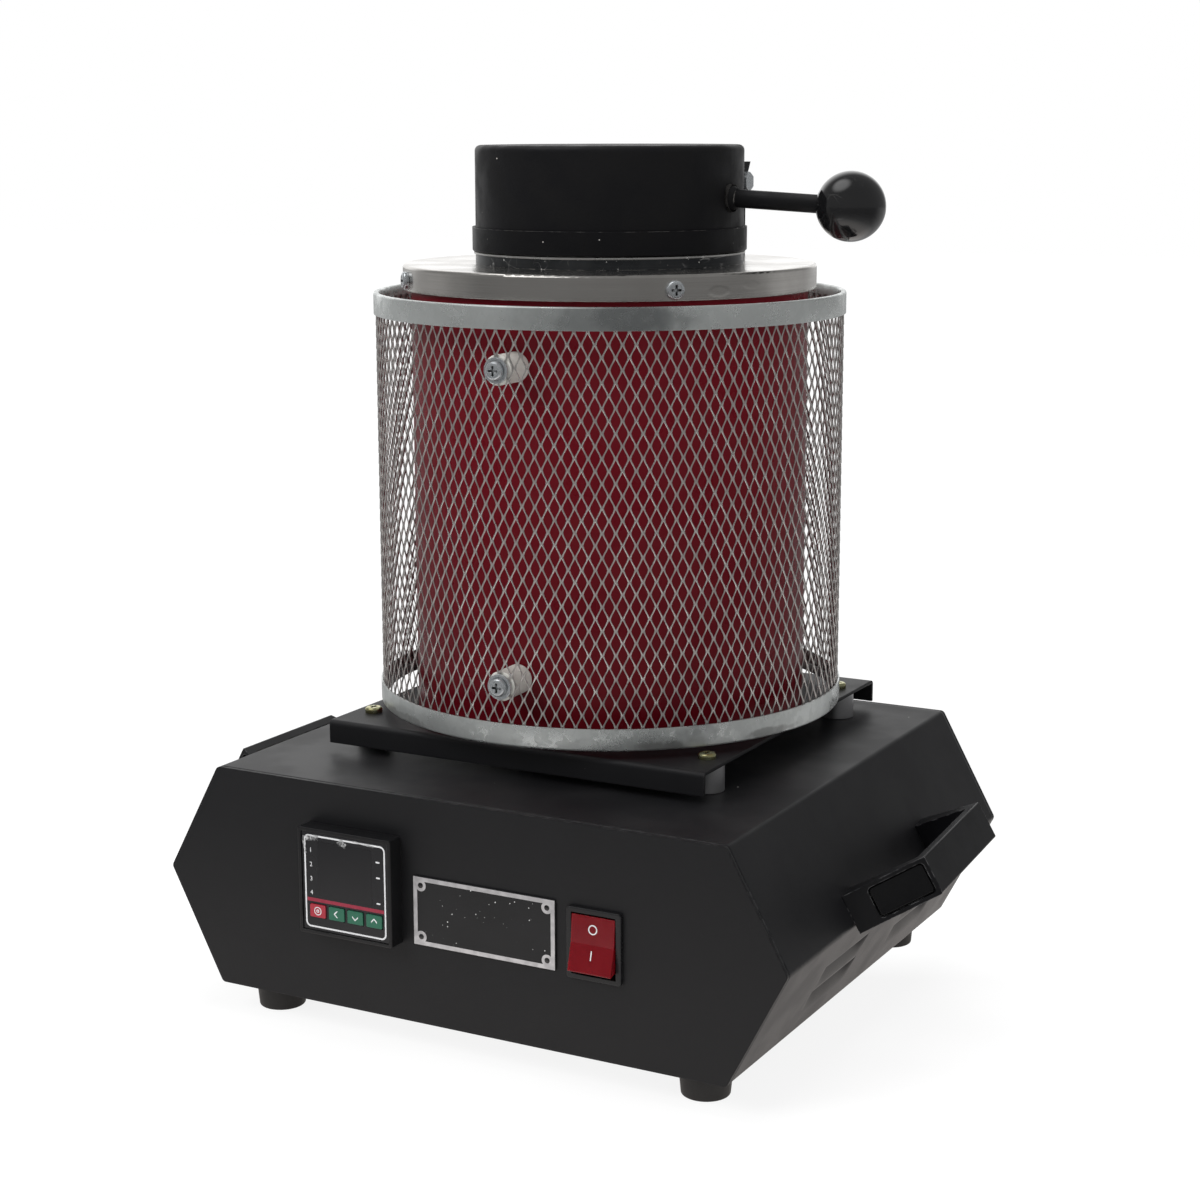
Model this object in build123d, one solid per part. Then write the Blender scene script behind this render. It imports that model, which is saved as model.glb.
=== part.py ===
from build123d import *
import os
from math import atan2, cos, degrees, hypot, pi, radians, sin

# Electric crucible furnace. Millimetres, +Z up. The origin is on the surface the feet stand on,
# at the middle of the base casing. The controls face -Y and the lid's knob points to +X.

# ---------------------------------------------------------------- driving sizes
# base casing: a folded tube of hexagonal section along Y, closed by two panels
casing_top_width = 250.5
casing_ridge_width = 305.5
casing_base_width = 252.5
casing_height = 101.2
casing_ridge_height = 51.3
casing_depth = 246.5
casing_floor_z = 13.4
sheet = 1.2
panel_sheet = 1.5
casing_bend_radius = 2.5
panel_return = 12.0
panel_fit = 0.15
shell_flange_width = 34.0
bottom_plate_inset = 8.0

# louvres pressed into the lower slopes, each open along its upper edge
louvre_length = 46.0
louvre_depth = 4.2
louvre_drop = 13.0
louvre_rows = (25.0, 38.5)
louvre_columns = (-41.0, 53.0)

# rubber feet
foot_from_side = 18.55
foot_from_end = 19.65
foot_top_radius = 11.7
foot_bottom_radius = 10.4
foot_recess_radius = 6.0
foot_recess_depth = 7.0
foot_edge_radius = 1.0

# fasteners: shank radius, pan-head radius and height
m5 = dict(shank=2.5, head=4.6, rise=3.0, hole=2.75, nut_flats=8.0, nut=4.0)
m4 = dict(shank=2.0, head=4.0, rise=2.5, hole=2.25, nut_flats=7.0, nut=3.2)
m3 = dict(shank=1.5, head=2.9, rise=1.9, hole=1.7, nut_flats=5.5, nut=2.4)
seat_gap = 0.1

# carrying handles: moulded bridge handles on the upper slopes
handle_width = 17.4
handle_height = 35.3
handle_bend_half = 36.8
handle_foot_half = 52.6
handle_grip_thickness = 5.0
handle_leg_inner_half = 40.5
handle_above_ridge = 8.0
handle_y = -1.2
handle_skew = 3.6
handle_edge_radius = 0.8
handle_screw_half = 43.8
handle_screw_seat = 6.0
handle_screw_size = dict(m4, head=3.5)
cap_length = 25.0
cap_edge = 2.2
cap_thickness = 1.2
cap_pocket_depth = 2.0
cap_pocket_gap = 0.5
cap_from_bend = 1.8

# furnace stand: a channel plate on four spacers
axis_x = -2.0
axis_y = 17.7
plate_width = 189.5
plate_depth = 188.5
plate_sheet = 1.5
plate_flange = 10.4
plate_bend_radius = 2.2
spacer_height = 12.6
spacer_radius = 7.7
spacer_from_side = 9.35
spacer_from_end = 22.25

# furnace barrel and what it holds
barrel_radius = 90.0
barrel_sheet = 1.2
barrel_base_sheet = 1.5
barrel_bolt_circle = 70.0
barrel_bolt_count = 3
lining_gap = 0.3
floor_board_height = 34.0
core_outer_radius = 62.0
core_inner_radius = 50.0
core_height = 152.0
coil_sink = 4.0
coil_wire_radius = 1.3
coil_pitch = 13.0
coil_end = 17.0
coil_gap = 0.7
lead_radius = 1.6
lead_tube_radius = 3.6
lead_tube_hang = 12.0
lead_x = 20.0
pedestal_gap = 6.0
pedestal_height = 14.0
top_ring_height = 15.0
mouth_radius = 46.0
crucible_below_core_top = 10.0
crucible_top_radius = 41.0
crucible_base_radius = 32.0
crucible_wall = 7.0
crucible_floor = 10.0
probe_radius = 2.0
probe_reach = 60.0

# stainless cap, and the collar that the lid rests over
cap_overhang = 3.7
cap_rim = 11.0
cap_sheet = 1.2
cap_screw_drop = 6.4
cap_screw_angle = 45.0
collar_radius = 60.7
collar_wall = 10.0
collar_height = 5.3
collar_lip = 0.8
collar_lip_reach = 0.7

# lid
lid_lift = 0.4
lid_inside_collar = 0.1
lid_sheet = 1.2
lid_rise = 36.1
lid_edge_radius = 2.6
flange_overhang = 1.5
flange_rise = 10.6
flange_turn_in = 10.6
filling_gap = 0.2

# lid handle
rod_radius = 4.0
rod_rise = 23.8
rod_droop = 2.9
knob_from_lid = 56.6
knob_radius = 15.1
knob_bore_depth = 12.0
weld_radius = 6.4
weld_length = 3.2
rod_weld_sink = 1.0

# lid hinge, behind the lid
hinge_from_lid = 21.9
hinge_rise = 34.5
hinge_pin_radius = 2.5
hinge_running_gap = 0.06
bracket_sheet = 2.0
bracket_half = 28.0
bracket_foot_depth = 16.0
bracket_back = 2.6
ear_back = 8.0
ear_front = 7.0
ear_top = 9.3
knuckle_radius = 6.5
knuckle_side_gap = 0.4
arm_half_width = 22.0
arm_thickness = 4.0
saddle_height = 15.0
saddle_thickness = 2.5

# wire guard
guard_gap = 3.6
guard_below_cap = 1.2
guard_from_barrel = 17.2
guard_band_height = 9.8
guard_band_sheet = 0.8
guard_mesh_sheet = 1.0
guard_columns = 24
guard_rows = 4
guard_strand = 4.0
guard_pad_radius = 9.0
standoff_radius = 6.5
standoff_angles = (1.8, 181.8)
standoff_above_foot = 25.8
standoff_below_top = 27.0
standoff_washer_radius = 5.6
standoff_washer = 1.0

# temperature controller
controller_x = -52.4
controller_z = 72.3
controller_face_size = 48.0
controller_proud = 8.3
controller_body_size = 44.2
controller_body_depth = 72.0
controller_cutout_gap = 0.3
controller_wall = 1.6
face_inset = 1.6
face_fit = 0.15
face_thickness = 2.0
face_recess = 0.6
key_xs = (-14.3, -4.5, 5.2, 15.0)
key_z = -13.2
key_width = 8.0
key_height = 5.8
key_proud = 0.5
key_gap = 0.15
key_flange = 0.7
key_lip = 0.5
key_travel = 0.4
key_seat_gap = 0.1
board_thickness = 1.6
board_gap = 1.0
display_width = 34.0
display_height = 20.0
display_thickness = 1.4
display_rise = 7.0
clamp_wall = 3.8
clamp_depth = 9.0
clamp_fit = 0.15

# rocker switch
switch_x = 66.4
switch_z = 63.8
switch_frame_width = 25.5
switch_frame_height = 31.0
switch_proud = 2.0
switch_bezel_lip = 1.5
switch_body_depth = 20.0
switch_side_wall = 0.8
switch_end_wall = 0.6
switch_end_room = 0.6
switch_cutout_gap = 0.25
rocker_face = 4.4
rocker_valley = 3.3
rocker_back = 5.0
rocker_tip = 10.0
rocker_gap = 0.4
rocker_pin_radius = 1.2
rocker_pin_gap = 0.05
rocker_pin_reach = 1.0

# nameplate
nameplate_x = 12.9
nameplate_z = 64.8
nameplate_width = 70.0
nameplate_height = 31.0
nameplate_sheet = 0.8
nameplate_corner = 1.2
rivet_inset = 4.0
rivet_radius = 1.2
rivet_head_radius = 1.9
rivet_head_rise = 0.5

# rear and inside of the base
inlet_x = 70.0
inlet_z = 58.0
inlet_width = 50.0
inlet_height = 24.0
inlet_flange = 3.0
inlet_body_width = 28.0
inlet_body_height = 20.4
inlet_body_depth = 24.0
inlet_socket_depth = 16.0
inlet_socket_width = 22.0
inlet_socket_height = 14.0
inlet_pin_pitch = 7.0
inlet_pin_length = 10.0
vent_width = 46.0
vent_height = 3.2
vent_pitch = 9.0
vent_count = 5
vent_x = -60.0
rear_tab_from_side = 25.0
rear_tab_width = 12.0
rear_tab_height = 14.0
rear_tab_sheet = 2.0
rear_screw_past_tab = 2.0
module_width = 58.0
module_depth = 45.0
module_height = 24.0
heatsink_margin = 7.0
module_step = 8.0
module_step_depth = 10.0
heatsink_sheet = 4.0
module_x = 64.0
module_y = 30.0
terminal_depth = 22.0
terminal_height = 20.0
terminal_ways = 4
terminal_well_radius = 3.4
terminal_well_depth = 9.0

# ---------------------------------------------------------------- places worked out from them
foot_x = casing_base_width / 2 - foot_from_side
foot_y = casing_depth / 2 - foot_from_end
upper_slope = hypot((casing_ridge_width - casing_top_width) / 2, casing_height - casing_ridge_height)
handle_drop = upper_slope - handle_above_ridge
spacer_x = plate_width / 2 - spacer_from_side
spacer_y = plate_depth / 2 - spacer_from_end
coil_radius = core_inner_radius + coil_sink
coil_turns = int((core_height - 2 * coil_end) / coil_pitch) + 1
pedestal_radius = core_inner_radius - pedestal_gap
crucible_height = core_height - pedestal_height - crucible_below_core_top
cap_radius = barrel_radius + cap_overhang
lid_radius = collar_radius - lid_inside_collar
flange_radius = lid_radius + flange_overhang
flange_mouth_radius = lid_radius - flange_turn_in
knob_reach = lid_radius + knob_from_lid
hinge_reach = lid_radius + hinge_from_lid
guard_radius = barrel_radius + guard_from_barrel
cap_width = handle_width - 2 * cap_edge
clamp_width = controller_body_size + 2 * clamp_wall
controller_cutout = controller_body_size + 2 * controller_cutout_gap
switch_body_width = switch_frame_width - 2 * switch_bezel_lip
switch_body_height = switch_frame_height - 2 * switch_bezel_lip
rocker_width = switch_body_width - 2 * (switch_side_wall + rocker_gap)
rocker_half = switch_body_height / 2 - switch_end_wall - switch_end_room - rocker_gap
terminal_pitch = 2 * lead_x / (terminal_ways - 1)
terminal_width = terminal_pitch * terminal_ways
casing_top_z = casing_floor_z + casing_height
casing_ridge_z = casing_floor_z + casing_ridge_height
front_y = -casing_depth / 2
rear_y = casing_depth / 2
plate_top_z = casing_top_z + spacer_height + plate_sheet
barrel_floor_z = plate_top_z + barrel_base_sheet
core_z = barrel_floor_z + floor_board_height
core_top_z = core_z + core_height
ring_z = core_top_z + lining_gap
cap_under_z = ring_z + top_ring_height + lining_gap
cap_top_z = cap_under_z + cap_sheet
collar_top_z = cap_top_z + collar_height
lid_z = collar_top_z + lid_lift
lid_top_z = lid_z + flange_rise + lid_rise
hinge_y = axis_y + hinge_reach
hinge_z = cap_top_z + hinge_rise
guard_z = plate_top_z + guard_gap
guard_top_z = cap_top_z - cap_rim - guard_below_cap
guard_height = guard_top_z - guard_z
mesh_outer = guard_radius - guard_band_sheet
mesh_inner = mesh_outer - guard_mesh_sheet
axis = Pos(axis_x, axis_y, 0)

os.makedirs("parts", exist_ok=True)


# ---------------------------------------------------------------- helpers
def save(name, *solids):
    """Write one node: a single solid, or a group of separate solids."""
    shape = solids[0] if len(solids) == 1 else Compound(children=list(solids))
    export_step(shape, f"parts/{name}.step")


def disc(radius, height, z):
    """A round plate whose underside is at height z."""
    return Pos(0, 0, z) * Cylinder(radius, height, align=(Align.CENTER, Align.CENTER, Align.MIN))


def tube(outer, inner, height, z):
    """A round sleeve whose underside is at height z."""
    return disc(outer, height, z) - disc(inner, height + 2, z - 1)


def block(width, depth, height, x, y, z):
    """A box centred on x and y, whose underside is at height z."""
    return Pos(x, y, z) * Box(width, depth, height, align=(Align.CENTER, Align.CENTER, Align.MIN))


def rod_along_y(radius, y_from, y_to, x, z):
    """A round bar parallel to Y."""
    middle = (y_from + y_to) / 2
    return Pos(x, middle, z) * Rot(90, 0, 0) * Cylinder(radius, abs(y_to - y_from))


def rod_along_x(radius, x_from, x_to, y, z):
    """A round bar parallel to X."""
    middle = (x_from + x_to) / 2
    return Pos(middle, y, z) * Rot(0, 90, 0) * Cylinder(radius, abs(x_to - x_from))


def pan_screw(size, length):
    """A pan-head cross-slot screw along +Z, head upwards, with the head's seat at the origin."""
    head = disc(size["head"], size["rise"], 0)
    head = fillet(head.edges().group_by(Axis.Z)[-1], size["rise"] * 0.5)
    slot_depth = size["rise"] * 0.55
    slot_long, slot_wide = size["head"] * 1.1, size["head"] * 0.26
    top = size["rise"] - slot_depth
    slot = block(slot_long, slot_wide, size["rise"], 0, 0, top)
    slot += block(slot_wide, slot_long, size["rise"], 0, 0, top)
    return head - slot + disc(size["shank"], length, -length)


def hex_nut(size, z):
    """A hexagon nut around the Z axis whose underside is at height z."""
    nut = extrude(RegularPolygon(size["nut_flats"] / 2, 6, major_radius=False), amount=size["nut"])
    return Pos(0, 0, z) * (nut - disc(size["shank"] + seat_gap / 2, size["nut"] + 2, -1))


def corners(x, y):
    """The four sign combinations of a rectangle's corners."""
    return [(sx * x, sy * y) for sx in (-1, 1) for sy in (-1, 1)]


def along_y(sketch, y_from, y_to):
    """Extrude a sketch drawn in X (across) and Y (up) between two depths of the casing."""
    return Pos(0, y_to, casing_floor_z) * extrude(Plane.XZ * sketch, amount=y_to - y_from)


def casing_section(inset):
    """The casing's hexagon, drawn inwards from its outer skin by inset, with rounded bends."""
    base, ridge, top = casing_base_width / 2, casing_ridge_width / 2, casing_top_width / 2
    outline = Polyline(
        (-base, 0), (base, 0), (ridge, casing_ridge_height), (top, casing_height),
        (-top, casing_height), (-ridge, casing_ridge_height), close=True)
    face = make_face(outline)
    if inset > 0:
        face = offset(face, amount=-inset, kind=Kind.INTERSECTION)
    return fillet(face.vertices(), max(casing_bend_radius - inset, 0.4))


def slope_frame(side, upper, drop, y):
    """A plane on a side slope: X along +Y, Y up the slope, Z outwards; drop is measured down it."""
    half_ridge = casing_ridge_width / 2
    if upper:
        start = (casing_top_width / 2, casing_top_z)
        run, fall = half_ridge - start[0], casing_top_z - casing_ridge_z
    else:
        start = (half_ridge, casing_ridge_z)
        run, fall = casing_base_width / 2 - half_ridge, casing_ridge_z - casing_floor_z
    length = hypot(run, fall)
    across, down = run / length, fall / length
    origin = (side * (start[0] + across * drop), y, start[1] - down * drop)
    return Plane(origin=origin, x_dir=(0, side, 0), z_dir=(side * down, 0, across))


# ---------------------------------------------------------------- base casing
def louvre(slit):
    """One louvre's hollow: it deepens up the slope, ends in a slit and is round at both ends."""
    foot, lip = -louvre_drop / 2, louvre_drop / 2
    slope = TangentArc((foot, 0), (lip, -louvre_depth), tangent=(1, 0))
    rest = Polyline((lip, -louvre_depth), (lip + slit, sheet), (foot, sheet), (foot, 0))
    wedge = extrude(Plane.YZ * make_face(slope + rest), amount=louvre_length / 2, both=True)
    ends = Plane.XZ * Ellipse(louvre_length / 2, louvre_depth)
    return wedge & extrude(ends, amount=louvre_drop, both=True)


def louvre_places():
    """Every louvre's frame on the two lower slopes."""
    return [slope_frame(side, False, drop, y).location
            for side in (-1, 1) for drop in louvre_rows for y in louvre_columns]


def handle_frames():
    """The frames that the two carrying handles sit in; the right one is fitted a little askew."""
    right = slope_frame(1, True, handle_drop, handle_y).location * Rot(0, 0, handle_skew)
    left = slope_frame(-1, True, handle_drop, handle_y).location
    return right, left


def spacer_places():
    """Where the furnace stand's spacers stand."""
    return [(axis_x + x, axis_y + y) for x, y in corners(spacer_x, spacer_y)]


def probe_place():
    """The probe's place, as an offset from the furnace axis: midway between pedestal and core."""
    return 0, -(pedestal_radius + core_inner_radius) / 2


def feedthroughs(low, height):
    """Round holes for the two lead tubes and the probe, to be cut from what they pass through."""
    tubes = [Pos(x, 0, 0) * disc(lead_tube_radius + seat_gap, height, low) for x in lead_places()]
    x, y = probe_place()
    return [axis * hole for hole in tubes + [Pos(x, y, 0) * disc(probe_radius + seat_gap, height, low)]]


def lead_places():
    """The two heater leads' distances from the furnace axis, along X."""
    return -lead_x, lead_x


def casing():
    shell = along_y(casing_section(0) - casing_section(sheet), front_y + panel_sheet, rear_y - panel_sheet)
    open_floor = casing_base_width - 2 * shell_flange_width
    shell -= block(open_floor, casing_depth + 2, 3 * sheet, 0, 0, casing_floor_z - sheet)
    shell = shell + [place * Pos(0, 0, -sheet) * louvre(0) for place in louvre_places()]
    shell = shell - [place * louvre(2 * sheet) for place in louvre_places()]
    shell = shell + [rear_tab(x, z) for x, z in rear_screw_places()]
    for x, y in corners(foot_x, foot_y):
        shell -= Pos(x, y, 0) * disc(m5["hole"], 4 * sheet, casing_floor_z - sheet)
    for x, y in spacer_places():
        shell -= Pos(x, y, 0) * disc(m4["hole"], 4 * sheet, casing_top_z - 2 * sheet)
    shell -= feedthroughs(casing_top_z - 2 * sheet, 4 * sheet)
    for place in handle_frames():
        for x in (-handle_screw_half, handle_screw_half):
            shell -= place * Pos(x, 0, 0) * Cylinder(m4["hole"], 6 * sheet)
    return shell


def panel(y_outer, inward, cuts):
    """A casing end panel with a return flange all round, tucked inside the shell."""
    y_face = y_outer + inward * panel_sheet
    y_lip = y_face + inward * panel_return
    tuck = sheet + panel_fit
    plate = along_y(casing_section(0), min(y_outer, y_face), max(y_outer, y_face))
    lip = along_y(casing_section(tuck) - casing_section(tuck + sheet), min(y_face, y_lip), max(y_face, y_lip))
    return plate + lip - cuts


def front_panel():
    y = front_y + panel_sheet / 2
    deep = 3 * panel_sheet
    cut_w = switch_body_width + 2 * switch_cutout_gap
    cut_h = switch_body_height + 2 * switch_cutout_gap
    cuts = [
        Pos(controller_x, y, controller_z) * Box(controller_cutout, deep, controller_cutout),
        Pos(switch_x, y, switch_z) * Box(cut_w, deep, cut_h),
    ]
    for x, z in rivet_places():
        cuts.append(rod_along_y(rivet_radius + seat_gap / 2, y - deep / 2, y + deep / 2, x, z))
    return panel(front_y, 1, cuts)


def rear_screw_places():
    """Rear panel screws, in X and Z, just inside the shell's roof and its floor flanges."""
    low = (casing_base_width / 2 - rear_tab_from_side, casing_floor_z + rear_tab_height / 2)
    high = (casing_top_width / 2 - rear_tab_from_side, casing_top_z - rear_tab_height / 2)
    return [(side * x, z) for side in (-1, 1) for x, z in (low, high)]


def rear_tab(x, z):
    """A tab on the shell, just inside the rear panel, that takes one of its screws."""
    y = rear_y - panel_sheet - panel_fit - rear_tab_sheet / 2
    tab = Pos(x, y, z) * Box(rear_tab_width, rear_tab_sheet, rear_tab_height)
    return tab - rod_along_y(m3["shank"] + seat_gap / 2, y - rear_tab_sheet, y + rear_tab_sheet, x, z)


def rear_panel():
    y = rear_y - panel_sheet / 2
    deep = 3 * panel_sheet
    gap = 2 * panel_fit
    cuts = [Pos(inlet_x, y, inlet_z) * Box(inlet_body_width + gap, deep, inlet_body_height + gap)]
    first = casing_ridge_z - vent_pitch * (vent_count - 1) / 2
    for row in range(vent_count):
        cuts.append(Pos(vent_x, y, first + row * vent_pitch) * Box(vent_width, deep, vent_height))
    for x, z in rear_screw_places():
        cuts.append(rod_along_y(m3["hole"], y - deep / 2, y + deep / 2, x, z))
        notch_y = rear_y - panel_sheet - panel_return / 2
        cuts.append(Pos(x, notch_y, z) * Box(rear_tab_width + 1, panel_return, rear_tab_height + 1))
    return panel(rear_y, -1, cuts)


def bottom_plate():
    width = casing_base_width - 2 * bottom_plate_inset
    depth = casing_depth - 2 * (panel_sheet + panel_return + 0.5)
    plate = block(width, depth, sheet, 0, 0, casing_floor_z + sheet)
    for x, y in corners(foot_x, foot_y):
        plate -= Pos(x, y, 0) * disc(m5["hole"], 4 * sheet, casing_floor_z)
    return plate


def foot():
    """One rubber foot, widest where it meets the casing, with a recess for its screw."""
    body = Cone(foot_bottom_radius, foot_top_radius, casing_floor_z,
                align=(Align.CENTER, Align.CENTER, Align.MIN))
    body = fillet(body.edges().group_by(Axis.Z)[0], foot_edge_radius)
    body -= disc(foot_recess_radius, foot_recess_depth + 1, -1)
    return body - disc(m5["hole"], casing_floor_z, 1)


def foot_screw():
    """A foot's screw, head down in the recess."""
    reach = casing_floor_z + 2 * sheet + m5["nut"] + 1 - foot_recess_depth
    return Pos(0, 0, foot_recess_depth) * Rot(180, 0, 0) * pan_screw(m5, reach)


# ---------------------------------------------------------------- carrying handles
def handle_leg_pitch():
    """The angle of a handle leg's outer face above the slope it stands on."""
    return degrees(atan2(handle_height, handle_foot_half - handle_bend_half))


def on_leg(side):
    """A frame on a leg's outer face: X towards the foot, Z outwards, origin at the bend."""
    lean = radians(handle_leg_pitch())
    return Plane(origin=(side * handle_bend_half, 0, handle_height),
                 x_dir=(side * cos(lean), 0, -sin(lean)), z_dir=(side * sin(lean), 0, cos(lean))).location


def cap_middle():
    """Distance from the bend to the middle of a leg's cover cap."""
    return cap_from_bend + cap_pocket_gap + cap_length / 2


def handle():
    """One bridge handle along X, standing on Z = 0."""
    grip_under = handle_height - handle_grip_thickness
    inner_bend = handle_bend_half - handle_grip_thickness * 0.8
    side_view = make_face(Polyline(
        (-handle_foot_half, 0), (-handle_bend_half, handle_height), (handle_bend_half, handle_height),
        (handle_foot_half, 0), (handle_leg_inner_half, 0), (inner_bend, grip_under),
        (-inner_bend, grip_under), (-handle_leg_inner_half, 0), close=True))
    body = extrude(Plane.XZ * side_view, amount=handle_width / 2, both=True)
    body = fillet(body.edges().filter_by(Axis.X).group_by(Axis.Z)[-1], handle_edge_radius)
    for side in (-1, 1):
        pocket_length = cap_length + 2 * cap_pocket_gap
        pocket_width = cap_width + 2 * cap_pocket_gap
        pocket = extrude(RectangleRounded(pocket_length, pocket_width, 2.0), amount=cap_pocket_depth + 2)
        body -= on_leg(side) * Pos(cap_middle(), 0, -cap_pocket_depth) * pocket
        well = disc(handle_screw_size["head"] + 0.3, handle_height, handle_screw_seat)
        body -= Pos(side * handle_screw_half, 0, 0) * (well + disc(m4["hole"], handle_height, -1))
    return body


def handle_cap(side):
    """The cover cap that hides one handle screw."""
    plug = extrude(RectangleRounded(cap_length, cap_width, 1.6), amount=cap_thickness)
    plug = fillet(plug.edges().group_by(Axis.Z)[-1], cap_thickness * 0.45)
    return on_leg(side) * Pos(cap_middle(), 0, -cap_pocket_depth) * plug


def handle_screw_reach():
    """From a handle screw's head down to the far side of its nut."""
    return handle_screw_seat + sheet + m4["nut"] + 1.0


# ---------------------------------------------------------------- furnace stand
def support_plate():
    """A channel: a flat top with a flange turned down at the front and at the rear."""
    half = plate_depth / 2
    depth = plate_flange
    section = make_face(Polyline(
        (-half, -depth), (-half, 0), (half, 0), (half, -depth), (half - plate_sheet, -depth),
        (half - plate_sheet, -plate_sheet), (-half + plate_sheet, -plate_sheet),
        (-half + plate_sheet, -depth), close=True))
    plate = axis * Pos(0, 0, plate_top_z) * extrude(Plane.YZ * section, amount=plate_width / 2, both=True)
    bends = plate.edges().filter_by(Axis.X).group_by(Axis.Z)[-1]
    plate = fillet(bends, plate_bend_radius)
    for x, y in spacer_places():
        plate -= Pos(x, y, 0) * disc(m4["hole"], 4 * plate_sheet, plate_top_z - 2 * plate_sheet)
    for x, y in barrel_bolt_places():
        plate -= axis * Pos(x, y, 0) * disc(m5["hole"], 4 * plate_sheet, plate_top_z - 2 * plate_sheet)
    return plate - feedthroughs(plate_top_z - 2 * plate_sheet, 4 * plate_sheet)


def spacer():
    """One ceramic spacer on the casing's roof."""
    body = disc(spacer_radius, spacer_height, casing_top_z)
    body = fillet(body.edges().filter_by(GeomType.CIRCLE), 0.4)
    return body - disc(m4["hole"], spacer_height + 2, casing_top_z - 1)


# ---------------------------------------------------------------- furnace
def barrel_bolt_places():
    """The bolts that hold the barrel's base down, as offsets from the furnace axis."""
    turns = [radians(90 + i * 360 / barrel_bolt_count) for i in range(barrel_bolt_count)]
    return [(barrel_bolt_circle * cos(turn), barrel_bolt_circle * sin(turn)) for turn in turns]


def cap_screw_angles():
    """The cap's four screws, on the diagonals."""
    return [cap_screw_angle + 90 * i for i in range(4)]


def radial(angle, z):
    """A frame on the furnace axis whose Z points outwards; angle is measured from -Y towards +X."""
    a = radians(angle)
    return Plane(origin=(axis_x, axis_y, z), x_dir=(0, 0, 1), z_dir=(sin(a), -cos(a), 0)).location


def standoff_places():
    """Frames of the guard's standoffs."""
    heights = (guard_z + standoff_above_foot, guard_top_z - standoff_below_top)
    return [radial(angle, z) for angle in standoff_angles for z in heights]


def cap_screw_z():
    return cap_top_z - cap_screw_drop


def barrel():
    height = cap_under_z - lining_gap - barrel_floor_z + barrel_base_sheet
    wall = axis * tube(barrel_radius, barrel_radius - barrel_sheet, height, plate_top_z)
    drill = disc(m4["hole"], 4 * barrel_sheet, barrel_radius - 2 * barrel_sheet)
    for angle in cap_screw_angles():
        wall -= radial(angle, cap_screw_z()) * drill
    for place in standoff_places():
        wall -= place * drill
    return wall


def barrel_base():
    """The disc that closes the barrel's foot, with an upturned rim spot-welded inside the wall."""
    radius = barrel_radius - barrel_sheet
    base = disc(radius, barrel_base_sheet, plate_top_z)
    for x, y in barrel_bolt_places():
        base -= Pos(x, y, 0) * disc(m5["hole"], 6, plate_top_z - 2)
    return axis * base - feedthroughs(plate_top_z - plate_sheet, 4 * plate_sheet)


def barrel_bolt(x, y):
    """A bolt through the barrel's base and the plate; its head is let into the floor board."""
    reach = barrel_base_sheet + plate_sheet + m5["nut"] + 1
    return axis * Pos(x, y, barrel_floor_z) * pan_screw(m5, reach)


def floor_board():
    board = disc(barrel_radius - barrel_sheet - lining_gap, floor_board_height, barrel_floor_z)
    for x, y in barrel_bolt_places():
        board -= Pos(x, y, barrel_floor_z - 1) * disc(m5["head"] + 0.6, m5["rise"] + 2, 0)
    return axis * board - feedthroughs(barrel_floor_z - 1, floor_board_height + 2)


def side_lining():
    return axis * tube(barrel_radius - barrel_sheet - lining_gap, core_outer_radius + lining_gap,
                       core_height - lining_gap, core_z)


def heater_core():
    """The ceramic muffle, grooved on its bore for the heating coil."""
    core = tube(core_outer_radius, core_inner_radius, core_height, core_z)
    half_groove = coil_wire_radius + coil_gap
    for i in range(coil_turns):
        z = coil_start_z() + i * coil_pitch
        core -= tube(coil_radius + half_groove, core_inner_radius - 1, 2 * half_groove, z - half_groove)
    return axis * core


def coil_start_z():
    return core_z + (core_height - (coil_turns - 1) * coil_pitch) / 2


def heating_coil():
    """Resistance wire in closed turns, one in each groove of the core."""
    turns = []
    for i in range(coil_turns):
        turns.append(axis * Pos(0, 0, coil_start_z() + i * coil_pitch) * Torus(coil_radius, coil_wire_radius))
    return turns


def heater_lead(x):
    """A lead from the base casing up into the chamber floor."""
    return axis * Pos(x, 0, 0) * disc(lead_radius, core_z - lead_start_z(), lead_start_z())


def terminal_top_z():
    """The top of the terminal block on the bottom plate."""
    return casing_floor_z + 2 * sheet + terminal_height


def lead_start_z():
    """Where a lead ends, down in its terminal's well."""
    return terminal_top_z() - terminal_well_depth + lining_gap


def lead_tube(x):
    """A ceramic tube around a lead, from below the casing's roof to the top of the floor board."""
    low = casing_top_z - lead_tube_hang
    return axis * Pos(x, 0, 0) * tube(lead_tube_radius, lead_radius + seat_gap, core_z - low, low)


def top_ring():
    return axis * tube(barrel_radius - barrel_sheet - lining_gap, mouth_radius, top_ring_height, ring_z)


def pedestal():
    return axis * disc(pedestal_radius, pedestal_height, core_z)


def crucible():
    """A graphite crucible, tapered inside and out, with a rounded rim."""
    z = core_z + pedestal_height
    outer = make_face(Polyline(
        (0, 0), (crucible_base_radius, 0), (crucible_top_radius, crucible_height),
        (crucible_top_radius - crucible_wall, crucible_height),
        (crucible_base_radius - crucible_wall, crucible_floor), (0, crucible_floor), close=True))
    body = revolve(Plane.XZ * outer, axis=Axis.Z)
    rim = body.edges().group_by(Axis.Z)[-1]
    return axis * Pos(0, 0, z) * fillet(rim, crucible_wall * 0.3)


def thermocouple():
    """A sheathed probe from the base casing up into the gap between the pedestal and the core."""
    x, y = probe_place()
    low = casing_top_z - lead_tube_hang
    return axis * Pos(x, y, 0) * disc(probe_radius, core_z + probe_reach - low, low)


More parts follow.
